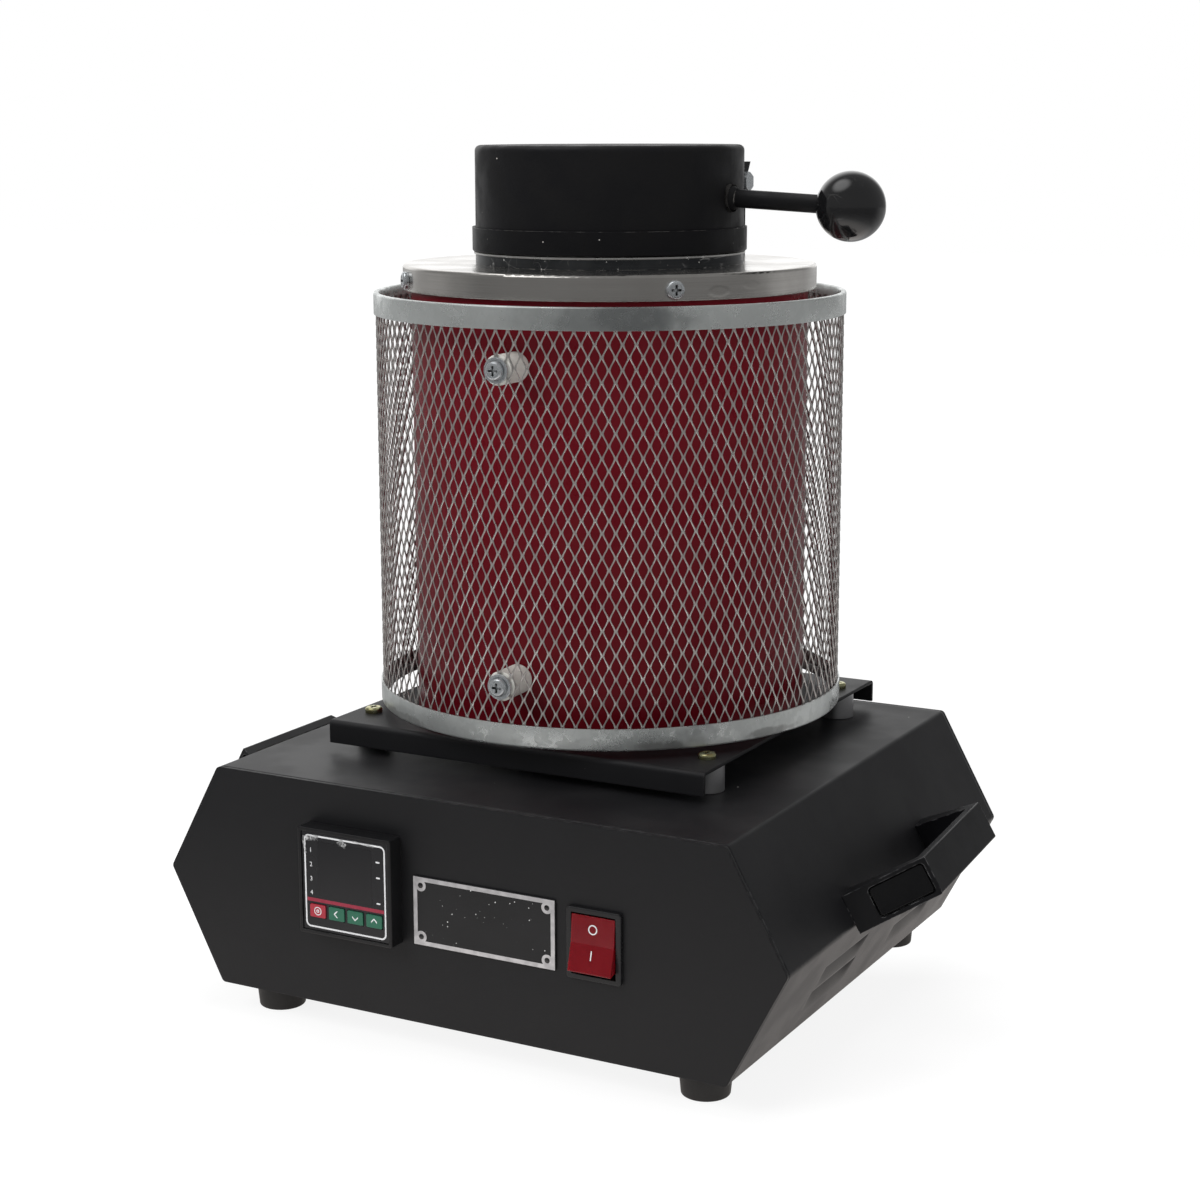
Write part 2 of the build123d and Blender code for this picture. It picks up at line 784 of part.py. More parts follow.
def top_cap():
    cap = disc(cap_radius, cap_rim, cap_top_z - cap_rim)
    cap = fillet(cap.edges().group_by(Axis.Z)[-1], cap_sheet)
    cap -= disc(cap_radius - cap_sheet, cap_rim - cap_sheet + 1, cap_top_z - cap_rim - 1)
    cap -= disc(collar_radius - collar_wall, 4 * cap_sheet, cap_top_z - 2 * cap_sheet)
    cap = axis * cap
    for angle in cap_screw_angles():
        cap -= radial(angle, cap_screw_z()) * disc(m4["hole"], 6, cap_radius - 3)
    return cap


def cap_screw(angle):
    reach = cap_radius - barrel_radius + barrel_sheet
    return radial(angle, cap_screw_z()) * Pos(0, 0, cap_radius) * pan_screw(m4, reach)


def mouth_collar():
    """The ring that the lid comes down on, with a thin lip at its top."""
    ring = tube(collar_radius, collar_radius - collar_wall, collar_height, cap_top_z)
    ring += tube(collar_radius + collar_lip_reach, collar_radius - 1, collar_lip, collar_top_z - collar_lip)
    return axis * ring


# ---------------------------------------------------------------- lid
def lid_shell():
    """The lid's cylinder, closed at the top with a rolled edge."""
    base = lid_z + lid_sheet
    height = lid_top_z - base
    shell = disc(lid_radius, height, base)
    shell = fillet(shell.edges().group_by(Axis.Z)[-1], lid_edge_radius)
    hollow = disc(lid_radius - lid_sheet, height - lid_sheet, base)
    hollow = fillet(hollow.edges().group_by(Axis.Z)[-1], lid_edge_radius - lid_sheet)
    return axis * (shell - hollow)


def lid_flange():
    """The tray around the lid's foot, turned in underneath to hold the filling."""
    tray = disc(flange_radius, flange_rise, lid_z)
    tray = fillet(tray.edges().group_by(Axis.Z)[0], 0.6)
    tray -= disc(lid_radius, flange_rise, lid_z + lid_sheet)
    return axis * (tray - disc(flange_mouth_radius, 4 * lid_sheet, lid_z - lid_sheet))


def lid_filling():
    low = lid_z + lid_sheet + filling_gap
    high = lid_top_z - lid_sheet - filling_gap
    block_radius = lid_radius - lid_sheet - filling_gap
    body = disc(block_radius, high - low, low)
    body = fillet(body.edges().group_by(Axis.Z)[-1], lid_edge_radius)
    return axis * (body + disc(flange_mouth_radius - filling_gap, 2 * lid_sheet, lid_z + 0.2))


def rod_frame():
    """A frame at the knob's centre whose Z runs along the handle rod, out to the knob."""
    droop = radians(rod_droop)
    return Plane(origin=(axis_x + knob_reach, axis_y, lid_z + rod_rise - knob_drop()),
                 x_dir=(sin(droop), 0, cos(droop)), z_dir=(cos(droop), 0, -sin(droop))).location


def knob_drop():
    """How far the knob hangs below the rod's root."""
    return (knob_reach - lid_radius) * sin(radians(rod_droop))


def rod_length():
    """From the lid's wall to the bottom of the knob's bore."""
    return (knob_reach - lid_radius) / cos(radians(rod_droop)) - knob_radius + knob_bore_depth


def lid_rod():
    """The handle rod, with the weld bead at its root cut to the lid's wall."""
    end = knob_bore_depth - knob_radius - seat_gap
    start = end - rod_length() - rod_weld_sink
    rod = disc(rod_radius, end - start, start)
    bead_start = -(knob_reach - lid_radius) / cos(radians(rod_droop)) - rod_weld_sink
    bead = Pos(0, 0, bead_start) * Cone(weld_radius, rod_radius + 0.4, weld_length + rod_weld_sink,
                                         align=(Align.CENTER, Align.CENTER, Align.MIN))
    return rod_frame() * (rod + bead) - axis * disc(lid_radius, lid_rise + flange_rise, lid_z)


def ball_knob():
    ball = Sphere(knob_radius)
    ball -= disc(rod_radius + seat_gap / 2, knob_bore_depth, -knob_radius)
    flat = knob_radius - 0.9
    ball -= disc(knob_radius, knob_radius, -knob_radius - flat)
    return rod_frame() * ball


# ---------------------------------------------------------------- lid hinge
def bracket_cheek(x_outer, inward):
    """One upright cheek: a leg with a wider ear at its top, around the hinge bolt."""
    y, z = hinge_y, hinge_z
    outline = make_face(Polyline(
        (y - ear_front, cap_top_z), (y + bracket_back, cap_top_z), (y + bracket_back, z - 6),
        (y + ear_back - 3.0, z + ear_top - 5.5), (y + ear_back, z + ear_top), (y - ear_front, z + ear_top),
        close=True))
    cheek = extrude(Plane.YZ * outline, amount=bracket_sheet)
    return Pos(x_outer if inward > 0 else x_outer - bracket_sheet, 0, 0) * cheek


def hinge_bracket():
    """A folded U that is spot-welded to the cap: a foot plate and two cheeks."""
    left, right = axis_x - bracket_half, axis_x + bracket_half
    foot_y_low = hinge_y - ear_front - bracket_foot_depth + (ear_front + bracket_back)
    foot_depth = hinge_y + bracket_back - foot_y_low
    foot_middle = foot_y_low + foot_depth / 2
    bracket = block(2 * bracket_half, foot_depth, bracket_sheet, axis_x, foot_middle, cap_top_z)
    bracket += bracket_cheek(left, 1)
    bracket += bracket_cheek(right, -1)
    bracket -= rod_along_x(hinge_pin_radius + seat_gap / 2, left - 5, right + 5, hinge_y, hinge_z)
    return bracket


def hinge_bolt():
    """A hexagon-head bolt along X, its head on the outside of the right cheek."""
    right = axis_x + bracket_half
    left = axis_x - bracket_half
    reach = 2 * bracket_half + m5["nut"] + 2
    shank = rod_along_x(hinge_pin_radius, right - reach, right, hinge_y, hinge_z)
    head = extrude(RegularPolygon(m5["nut_flats"] / 2, 6, major_radius=False), amount=3.5)
    head = Pos(right, hinge_y, hinge_z) * Rot(0, 90, 0) * head
    nut = Pos(left, hinge_y, hinge_z) * Rot(0, -90, 0) * hex_nut(m5, 0)
    return shank + head, nut


def hinge_arm():
    """The lid's half of the hinge: a saddle on the lid's back, a web, and the knuckle on the bolt."""
    half_knuckle = bracket_half - bracket_sheet - knuckle_side_gap
    knuckle = rod_along_x(knuckle_radius, axis_x - half_knuckle, axis_x + half_knuckle, hinge_y, hinge_z)
    web = block(2 * arm_half_width, hinge_reach, arm_thickness, axis_x, axis_y + hinge_reach / 2,
                hinge_z - arm_thickness / 2)
    saddle = tube(lid_radius + saddle_thickness, lid_radius - 1, saddle_height, hinge_z - saddle_height / 2)
    low = hinge_z - saddle_height / 2
    saddle &= block(2 * arm_half_width, 2 * lid_radius, saddle_height, 0, lid_radius + 1, low)
    arm = knuckle + web + axis * saddle
    arm -= axis * disc(lid_radius, 2 * lid_rise, lid_z)
    bore = rod_along_x(hinge_pin_radius + hinge_running_gap, axis_x - bracket_half, axis_x + bracket_half,
                       hinge_y, hinge_z)
    return arm - bore


# ---------------------------------------------------------------- guard
def guard_diamond(half_width, half_height, low):
    """A diamond that cuts outwards through the guard; low is its lowest point, or 0 for its upper half."""
    points = [(half_height, 0), (0, half_width), (low, 0), (0, -half_width)]
    if low == 0:
        points.pop(2)
    outline = make_face(Polyline(*points, close=True))
    return extrude(Pos(0, 0, mesh_inner - guard_mesh_sheet) * outline, amount=3 * guard_mesh_sheet)


def guard_openings():
    """The guard's staggered rows of diamonds, halved where a row meets a band."""
    low, high = guard_z + guard_band_height, guard_top_z - guard_band_height
    rise = (high - low) / guard_rows
    across = pi * mesh_outer / guard_columns
    inset = 1 - guard_strand / 2 * hypot(across, rise / 2) / (across * rise / 2)
    half_width, half_height = across * inset, rise / 2 * inset
    whole = guard_diamond(half_width, half_height, -half_height)
    above = guard_diamond(half_width, half_height, 0)
    below = Rot(0, 0, 180) * above
    openings = []
    for column in range(guard_columns):
        angle = 360 / guard_columns * (column + 0.5)
        openings += [radial(angle, low + rise * (row + 0.5)) * whole for row in range(guard_rows)]
        angle = 360 / guard_columns * column
        openings += [radial(angle, low + rise * row) * whole for row in range(1, guard_rows)]
        openings += [radial(angle, low) * above, radial(angle, high) * below]
    return openings


def guard_sleeve():
    """The guard's wall, as a coarse lattice with a solid pad at each screw."""
    height = guard_height - 2 * guard_band_sheet
    wall = axis * tube(mesh_outer, mesh_inner, height, guard_z + guard_band_sheet)
    sleeve = wall - guard_openings()
    through = mesh_inner - guard_mesh_sheet
    for place in standoff_places():
        sleeve += wall & (place * disc(guard_pad_radius, 3 * guard_mesh_sheet, through))
        sleeve -= place * disc(m4["hole"], 3 * guard_mesh_sheet, through)
    return sleeve


def guard_band(z):
    return axis * tube(guard_radius, mesh_outer + seat_gap / 2, guard_band_height, z)


def standoff(place):
    """A ceramic spacer between the barrel and the guard, coped to both curves."""
    body = place * disc(standoff_radius, mesh_inner - barrel_radius + 4, barrel_radius - 3)
    body -= place * disc(m4["hole"], guard_radius, 0)
    body &= axis * tube(mesh_inner, barrel_radius, guard_height, guard_z)
    return body


def standoff_screw(place):
    reach = mesh_outer + standoff_washer - barrel_radius + barrel_sheet
    return place * Pos(0, 0, mesh_outer + standoff_washer) * pan_screw(m4, reach)


def standoff_washer_ring(place):
    return place * tube(standoff_washer_radius, m4["hole"], standoff_washer, mesh_outer)


# ---------------------------------------------------------------- temperature controller
def controller_case():
    """The bezel and the body behind it, one moulding, open inside."""
    bezel = Pos(controller_x, front_y - controller_proud / 2, controller_z) * Box(
        controller_face_size, controller_proud, controller_face_size)
    bezel = fillet(bezel.edges().filter_by(Axis.Y), 1.0)
    bezel = fillet(bezel.edges().group_by(Axis.Y)[0], 0.5)
    body = Pos(controller_x, front_y + controller_body_depth / 2, controller_z) * Box(
        controller_body_size, controller_body_depth, controller_body_size)
    hollow_size = controller_body_size - 2 * controller_wall
    hollow_from = front_y - controller_proud + face_recess + face_thickness
    hollow_depth = controller_proud + controller_body_depth - face_recess - face_thickness - controller_wall
    hollow = Pos(controller_x, hollow_from + hollow_depth / 2, controller_z) * Box(
        hollow_size, hollow_depth, hollow_size)
    seat_size = controller_face_size - 2 * face_inset
    seat_depth = face_recess + face_thickness
    seat = Pos(controller_x, front_y - controller_proud + seat_depth / 2, controller_z) * Box(
        seat_size, seat_depth, seat_size)
    return bezel + body - hollow - seat


def controller_face():
    """The front window plate, with four holes for the keys."""
    size = controller_face_size - 2 * face_inset - 2 * face_fit
    y = front_y - controller_proud + face_recess + face_thickness / 2
    plate = Pos(controller_x, y, controller_z) * Box(size, face_thickness, size)
    for x in key_xs:
        plate -= Pos(controller_x + x, y, controller_z + key_z) * Box(
            key_width + 2 * key_gap, 2 * face_thickness, key_height + 2 * key_gap)
    return plate


def controller_key(x):
    """One key cap with a flange behind the face that keeps it in."""
    front = front_y - controller_proud + face_recess - key_proud
    back_of_face = front_y - controller_proud + face_recess + face_thickness
    stem_length = back_of_face + key_seat_gap + key_flange - front
    stem = Pos(controller_x + x, front + stem_length / 2, controller_z + key_z) * Box(
        key_width, stem_length, key_height)
    stem = fillet(stem.edges().filter_by(Axis.Y), 0.6)
    flange = Pos(controller_x + x, back_of_face + key_seat_gap + key_flange / 2, controller_z + key_z) * Box(
        key_width + 2 * key_lip, key_flange, key_height + 2 * key_lip)
    return stem + flange


def key_board():
    """The circuit board behind the keys and the display."""
    y = front_y - controller_proud + face_recess + face_thickness + key_seat_gap + key_flange + key_travel
    y += board_gap
    size = controller_body_size - 2 * controller_wall
    board = Pos(controller_x, y + board_thickness / 2, controller_z) * Box(size, board_thickness, size)
    display = Pos(controller_x, y, controller_z + display_rise)
    return board + display * Box(display_width, display_thickness, display_height)


def controller_clamp():
    """The frame that slides over the body and presses on the back of the panel."""
    inner = controller_body_size + 2 * clamp_fit
    y = front_y + panel_sheet + clamp_depth / 2
    ring = Pos(controller_x, y, controller_z) * Box(clamp_width, clamp_depth, clamp_width)
    return ring - Pos(controller_x, y, controller_z) * Box(inner, clamp_depth + 2, inner)


# ---------------------------------------------------------------- rocker switch
def rocker_pivot_y():
    return front_y + rocker_gap


def switch_frame():
    """The switch body with its bezel and the well that the rocker tips in."""
    front = front_y - switch_proud
    bezel = Pos(switch_x, front_y - switch_proud / 2, switch_z) * Box(
        switch_frame_width, switch_proud, switch_frame_height)
    bezel = fillet(bezel.edges().filter_by(Axis.Y), 1.2)
    bezel = fillet(bezel.edges().group_by(Axis.Y)[0], 0.5)
    body = Pos(switch_x, front_y + switch_body_depth / 2, switch_z) * Box(
        switch_body_width, switch_body_depth, switch_body_height)
    well_width = rocker_width + 2 * rocker_gap
    well_height = 2 * (rocker_half + rocker_gap + 0.6)
    well_depth = rocker_back + 3.0 + switch_proud
    well = Pos(switch_x, front + well_depth / 2, switch_z) * Box(well_width, well_depth, well_height)
    reach = rocker_width / 2 + rocker_gap + rocker_pin_reach
    pins = rod_along_x(rocker_pin_radius + rocker_pin_gap, switch_x - reach, switch_x + reach,
                       rocker_pivot_y(), switch_z)
    return bezel + body - well - pins


def switch_rocker():
    """The rocker, resting with its upper end pressed in."""
    profile = make_face(Polyline(
        (-rocker_face, rocker_half), (-rocker_valley, 0), (-rocker_face, -rocker_half),
        (rocker_back * 0.5, -rocker_half * 0.72), (rocker_back, 0), (rocker_back * 0.5, rocker_half * 0.72),
        close=True))
    profile = fillet(profile.vertices(), 0.5)
    body = extrude(Plane.YZ * profile, amount=rocker_width / 2, both=True)
    body += rod_along_x(rocker_pin_radius, -rocker_width / 2 - rocker_pin_reach + 0.2,
                        rocker_width / 2 + rocker_pin_reach - 0.2, 0, 0)
    return Pos(switch_x, rocker_pivot_y(), switch_z) * Rot(-rocker_tip, 0, 0) * body


# ---------------------------------------------------------------- nameplate
def rivet_places():
    x, z = nameplate_width / 2 - rivet_inset, nameplate_height / 2 - rivet_inset
    return [(nameplate_x + dx, nameplate_z + dz) for dx, dz in corners(x, z)]


def nameplate():
    plate = Pos(nameplate_x, front_y - nameplate_sheet / 2, nameplate_z) * Box(
        nameplate_width, nameplate_sheet, nameplate_height)
    plate = fillet(plate.edges().filter_by(Axis.Y), nameplate_corner)
    for x, z in rivet_places():
        plate -= rod_along_y(rivet_radius + seat_gap / 2, front_y - 3, front_y + 1, x, z)
    return plate


def rivet(x, z):
    """A domed rivet through the nameplate and the front panel."""
    shank = disc(rivet_radius, nameplate_sheet + panel_sheet + 0.6, -nameplate_sheet - panel_sheet - 0.6)
    head = disc(rivet_head_radius, rivet_head_rise, 0)
    head = fillet(head.edges().group_by(Axis.Z)[-1], rivet_head_rise * 0.8)
    return Pos(x, front_y - nameplate_sheet, z) * Rot(90, 0, 0) * (head + shank)


# ---------------------------------------------------------------- rear and inside of the base
def power_inlet():
    """A recessed three-pin inlet with its flange outside the rear panel."""
    flange = Pos(inlet_x, rear_y + inlet_flange / 2, inlet_z) * Box(inlet_width, inlet_flange, inlet_height)
    flange = fillet(flange.edges().filter_by(Axis.Y), 3.0)
    body = Pos(inlet_x, rear_y - inlet_body_depth / 2, inlet_z) * Box(
        inlet_body_width, inlet_body_depth, inlet_body_height)
    socket = Pos(inlet_x, rear_y + inlet_flange - inlet_socket_depth / 2, inlet_z) * Box(
        inlet_socket_width, inlet_socket_depth, inlet_socket_height)
    inlet = flange + body - socket
    socket_floor = rear_y + inlet_flange - inlet_socket_depth
    for i, rise in ((-1, -1.5), (0, 2.0), (1, -1.5)):
        pin = Pos(inlet_x + i * inlet_pin_pitch, socket_floor + inlet_pin_length / 2, inlet_z + rise)
        inlet += pin * Box(2, inlet_pin_length + 1, 4)
    return inlet


def heatsink():
    """The power module's aluminium plate on the bottom plate."""
    z = casing_floor_z + 2 * sheet
    width, depth = module_width + 2 * heatsink_margin, module_depth + 2 * heatsink_margin
    return block(width, depth, heatsink_sheet, module_x, module_y, z)


def power_module():
    z = casing_floor_z + 2 * sheet + heatsink_sheet
    body = block(module_width, module_depth, module_height, module_x, module_y, z)
    body = fillet(body.edges().filter_by(Axis.Z), 3.0)
    for side in (-1, 1):
        y = module_y + side * module_depth / 2
        body -= block(2 * module_width, module_step_depth, module_step, module_x, y, z + module_height - module_step)
    return body


def terminal_block():
    body = block(terminal_width, terminal_depth, terminal_height, 0, 0, terminal_top_z() - terminal_height)
    for i in range(terminal_ways):
        x = (i - (terminal_ways - 1) / 2) * terminal_pitch
        well = disc(terminal_well_radius, terminal_well_depth + 1, terminal_top_z() - terminal_well_depth)
        body -= Pos(x, 0, 0) * well
    return axis * body


# ---------------------------------------------------------------- build
def build_casing():
    save("casing_shell", casing())
    save("front_panel", front_panel())
    save("rear_panel", rear_panel())
    save("bottom_plate", bottom_plate())
    feet = corners(foot_x, foot_y)
    save("rubber_feet", *[Pos(x, y, 0) * foot() for x, y in feet])
    save("foot_screws", *[Pos(x, y, 0) * foot_screw() for x, y in feet])
    reach = panel_sheet + panel_fit + rear_tab_sheet + rear_screw_past_tab
    rear_screws = [Pos(x, rear_y, z) * Rot(-90, 0, 0) * pan_screw(m3, reach) for x, z in rear_screw_places()]
    save("rear_panel_screws", *rear_screws)
    nuts = [Pos(x, y, 0) * hex_nut(m5, casing_floor_z + 2 * sheet) for x, y in feet]
    nuts += [Pos(x, y, 0) * hex_nut(m4, casing_top_z - sheet - m4["nut"]) for x, y in spacer_places()]
    for place in handle_frames():
        for x in (-handle_screw_half, handle_screw_half):
            nuts.append(place * Pos(x, 0, 0) * hex_nut(m4, -sheet - m4["nut"]))
    save("casing_nuts", *nuts)


def build_handles():
    right, left = handle_frames()
    save("handle_right", right * handle())
    save("handle_left", left * handle())
    save("handle_caps", *[place * handle_cap(side) for place in (right, left) for side in (-1, 1)])
    screw = Pos(0, 0, handle_screw_seat) * pan_screw(handle_screw_size, handle_screw_reach())
    screws = [place * Pos(x, 0, 0) * screw for place in (right, left)
              for x in (-handle_screw_half, handle_screw_half)]
    save("handle_screws", *screws)


def build_stand():
    save("support_plate", support_plate())
    save("plate_spacers", *[Pos(x, y, 0) * spacer() for x, y in spacer_places()])
    reach = plate_sheet + spacer_height + sheet + m4["nut"] + 1
    save("plate_screws", *[Pos(x, y, plate_top_z) * pan_screw(m4, reach) for x, y in spacer_places()])


def build_furnace():
    save("furnace_barrel", barrel())
    save("barrel_base", barrel_base())
    bolts = [barrel_bolt(x, y) for x, y in barrel_bolt_places()]
    nuts = [axis * Pos(x, y, 0) * hex_nut(m5, plate_top_z - plate_sheet - m5["nut"])
            for x, y in barrel_bolt_places()]
    save("barrel_bolts", *bolts, *nuts)
    save("floor_insulation", floor_board())
    save("side_insulation", side_lining())
    save("heater_core", heater_core())
    save("heating_coil", *heating_coil())
    save("heater_leads", *[heater_lead(x) for x in lead_places()])
    save("lead_tubes", *[lead_tube(x) for x in lead_places()])
    save("top_insulation", top_ring())
    save("crucible_pedestal", pedestal())
    save("crucible", crucible())
    save("thermocouple", thermocouple())
    save("top_cap", top_cap())
    save("cap_screws", *[cap_screw(angle) for angle in cap_screw_angles()])
    save("mouth_collar", mouth_collar())


def build_lid():
    save("lid_shell", lid_shell())
    save("lid_flange", lid_flange())
    save("lid_insulation", lid_filling())
    save("lid_handle_rod", lid_rod())
    save("ball_knob", ball_knob())
    save("lid_hinge_arm", hinge_arm())
    save("hinge_bracket", hinge_bracket())
    bolt, nut = hinge_bolt()
    save("hinge_bolt", bolt, nut)


def build_guard():
    save("guard_mesh", guard_sleeve())
    save("guard_band_top", guard_band(guard_top_z - guard_band_height))
    save("guard_band_bottom", guard_band(guard_z))
    places = standoff_places()
    save("guard_standoffs", *[standoff(place) for place in places])
    screws = [standoff_screw(place) for place in places]
    save("guard_screws", *screws, *[standoff_washer_ring(place) for place in places])


def build_controls():
    save("controller_case", controller_case())
    save("controller_face", controller_face())
    save("controller_board", key_board())
    save("controller_clamp", controller_clamp())
    for name, x in zip(("key_set", "key_shift", "key_down", "key_up"), key_xs):
        save(name, controller_key(x))
    save("switch_frame", switch_frame())
    save("switch_rocker", switch_rocker())
    save("nameplate", nameplate())
    save("nameplate_rivets", *[rivet(x, z) for x, z in rivet_places()])


def build_rear_and_inside():
    save("power_inlet", power_inlet())
    save("power_heatsink", heatsink())
    save("power_module", power_module())
    save("terminal_block", terminal_block())


build_casing()
build_handles()
build_stand()
build_furnace()
build_lid()
build_guard()
build_controls()
build_rear_and_inside()
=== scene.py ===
"""An electric melting furnace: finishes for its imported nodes, and the finer pieces on them."""

import logging
from dataclasses import dataclass
from enum import Enum
from math import cos, pi, radians, sin, tan

import bmesh
import bpy
from mathutils import Matrix, Vector, noise
from mathutils.bvhtree import BVHTree


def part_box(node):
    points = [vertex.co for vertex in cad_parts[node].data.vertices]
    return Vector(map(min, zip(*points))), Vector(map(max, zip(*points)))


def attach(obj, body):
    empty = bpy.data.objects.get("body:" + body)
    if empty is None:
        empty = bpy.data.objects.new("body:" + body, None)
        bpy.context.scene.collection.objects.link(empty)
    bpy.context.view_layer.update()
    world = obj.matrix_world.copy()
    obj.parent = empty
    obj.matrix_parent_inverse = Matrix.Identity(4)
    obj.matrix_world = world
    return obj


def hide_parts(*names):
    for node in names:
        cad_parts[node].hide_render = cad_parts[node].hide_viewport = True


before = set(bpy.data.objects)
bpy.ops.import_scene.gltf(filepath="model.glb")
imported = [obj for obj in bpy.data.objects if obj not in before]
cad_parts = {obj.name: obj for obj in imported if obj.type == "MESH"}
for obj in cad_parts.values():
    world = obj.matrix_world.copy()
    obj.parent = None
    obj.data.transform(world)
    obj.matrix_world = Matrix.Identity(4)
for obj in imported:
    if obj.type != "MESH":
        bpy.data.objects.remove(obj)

Triple = tuple[float, float, float]
Colour = Triple
Profile = list[tuple[float, float]]

MM = 0.001
WHITE: Colour = (1.0, 1.0, 1.0)
LOG = logging.getLogger("furnace")


# --- Shader wiring and shared effects ---


class Wiring:
    """Adds nodes to one shader tree and joins them."""

    def __init__(self, tree: bpy.types.NodeTree) -> None:
        """Keeps the tree that the nodes go into."""
        self.tree = tree

    def add(self, kind: str, **settings: object) -> bpy.types.Node:
        """Adds a node.

        Args:
            kind: The node's type name.
            settings: Properties to set on it.

        Returns:
            The new node.
        """
        node = self.tree.nodes.new(kind)
        for name, value in settings.items():
            setattr(node, name, value)
        return node

    def feed(self, target: bpy.types.NodeSocket, value: object) -> None:
        """Links a socket to a target, or sets the target's own value.

        Args:
            target: The input socket.
            value: An output socket, a number or a tuple.
        """
        if isinstance(value, bpy.types.NodeSocket):
            self.tree.links.new(value, target)
        elif isinstance(value, tuple) and target.type == "RGBA":
            target.default_value = (*value, 1.0)
        else:
            target.default_value = value

    def math(self, operation: str, first: object, second: object = 0.0, clamp: bool = False
             ) -> bpy.types.NodeSocket:
        """Works out a value.

        Args:
            operation: A Math node operation.
            first: The first value or socket.
            second: The second value or socket.
            clamp: Whether the result stays from 0 to 1.

        Returns:
            The result's socket.
        """
        node = self.add("ShaderNodeMath", operation=operation, use_clamp=clamp)
        self.feed(node.inputs[0], first)
        self.feed(node.inputs[1], second)
        return node.outputs[0]

    def vector(self, operation: str, first: object, second: object = (0.0, 0.0, 0.0), output: int = 0
               ) -> bpy.types.NodeSocket:
        """Works out a vector, or with output 1 a number, from two vectors.

        Args:
            operation: A Vector Math node operation.
            first: The first vector or socket.
            second: The second vector or socket.
            output: 0 for the vector, 1 for the value.

        Returns:
            The result's socket.
        """
        node = self.add("ShaderNodeVectorMath", operation=operation)
        self.feed(node.inputs[0], first)
        self.feed(node.inputs[1], second)
        return node.outputs[output]

    def mix(self, amount: object, first: object, second: object) -> bpy.types.NodeSocket:
        """Mixes two colours.

        Args:
            amount: 0 for the first, 1 for the second.
            first: The first colour or socket.
            second: The second colour or socket.

        Returns:
            The colour's socket.
        """
        node = self.add("ShaderNodeMix", data_type="RGBA")
        self.feed(node.inputs[0], amount)
        self.feed(node.inputs[6], first)
        self.feed(node.inputs[7], second)
        return node.outputs[2]

    def spread(self, value: object, low: object, high: object, start: float = 0.0, end: float = 1.0
               ) -> bpy.types.NodeSocket:
        """Maps a value smoothly from one range to another, held at both ends.

        Args:
            value: The value or socket.
            low: Where the result is start.
            high: Where the result is end.
            start: The result at low.
            end: The result at high.

        Returns:
            The result's socket.
        """
        node = self.add("ShaderNodeMapRange", interpolation_type="SMOOTHSTEP")
        for target, given in zip(node.inputs, (value, low, high, start, end)):
            self.feed(target, given)
        return node.outputs[0]

    def clouds(self, place: object, scale: object, detail: float = 3.0, output: int = 0
               ) -> bpy.types.NodeSocket:
        """Noise in three dimensions, its value or with output 1 its colour."""
        node = self.add("ShaderNodeTexNoise")
        self.feed(node.inputs["Vector"], place)
        self.feed(node.inputs["Scale"], scale)
        self.feed(node.inputs["Detail"], detail)
        return node.outputs[output]

    def effect(self, group: bpy.types.NodeTree, **inputs: object) -> bpy.types.Node:
        """Places a shared effect.

        Args:
            group: The node group.
            inputs: A value or socket for each named input.

        Returns:
            The group's node.
        """
        node = self.add("ShaderNodeGroup", node_tree=group)
        for name, value in inputs.items():
            self.feed(node.inputs[name.replace("_", " ").capitalize()], value)
        return node


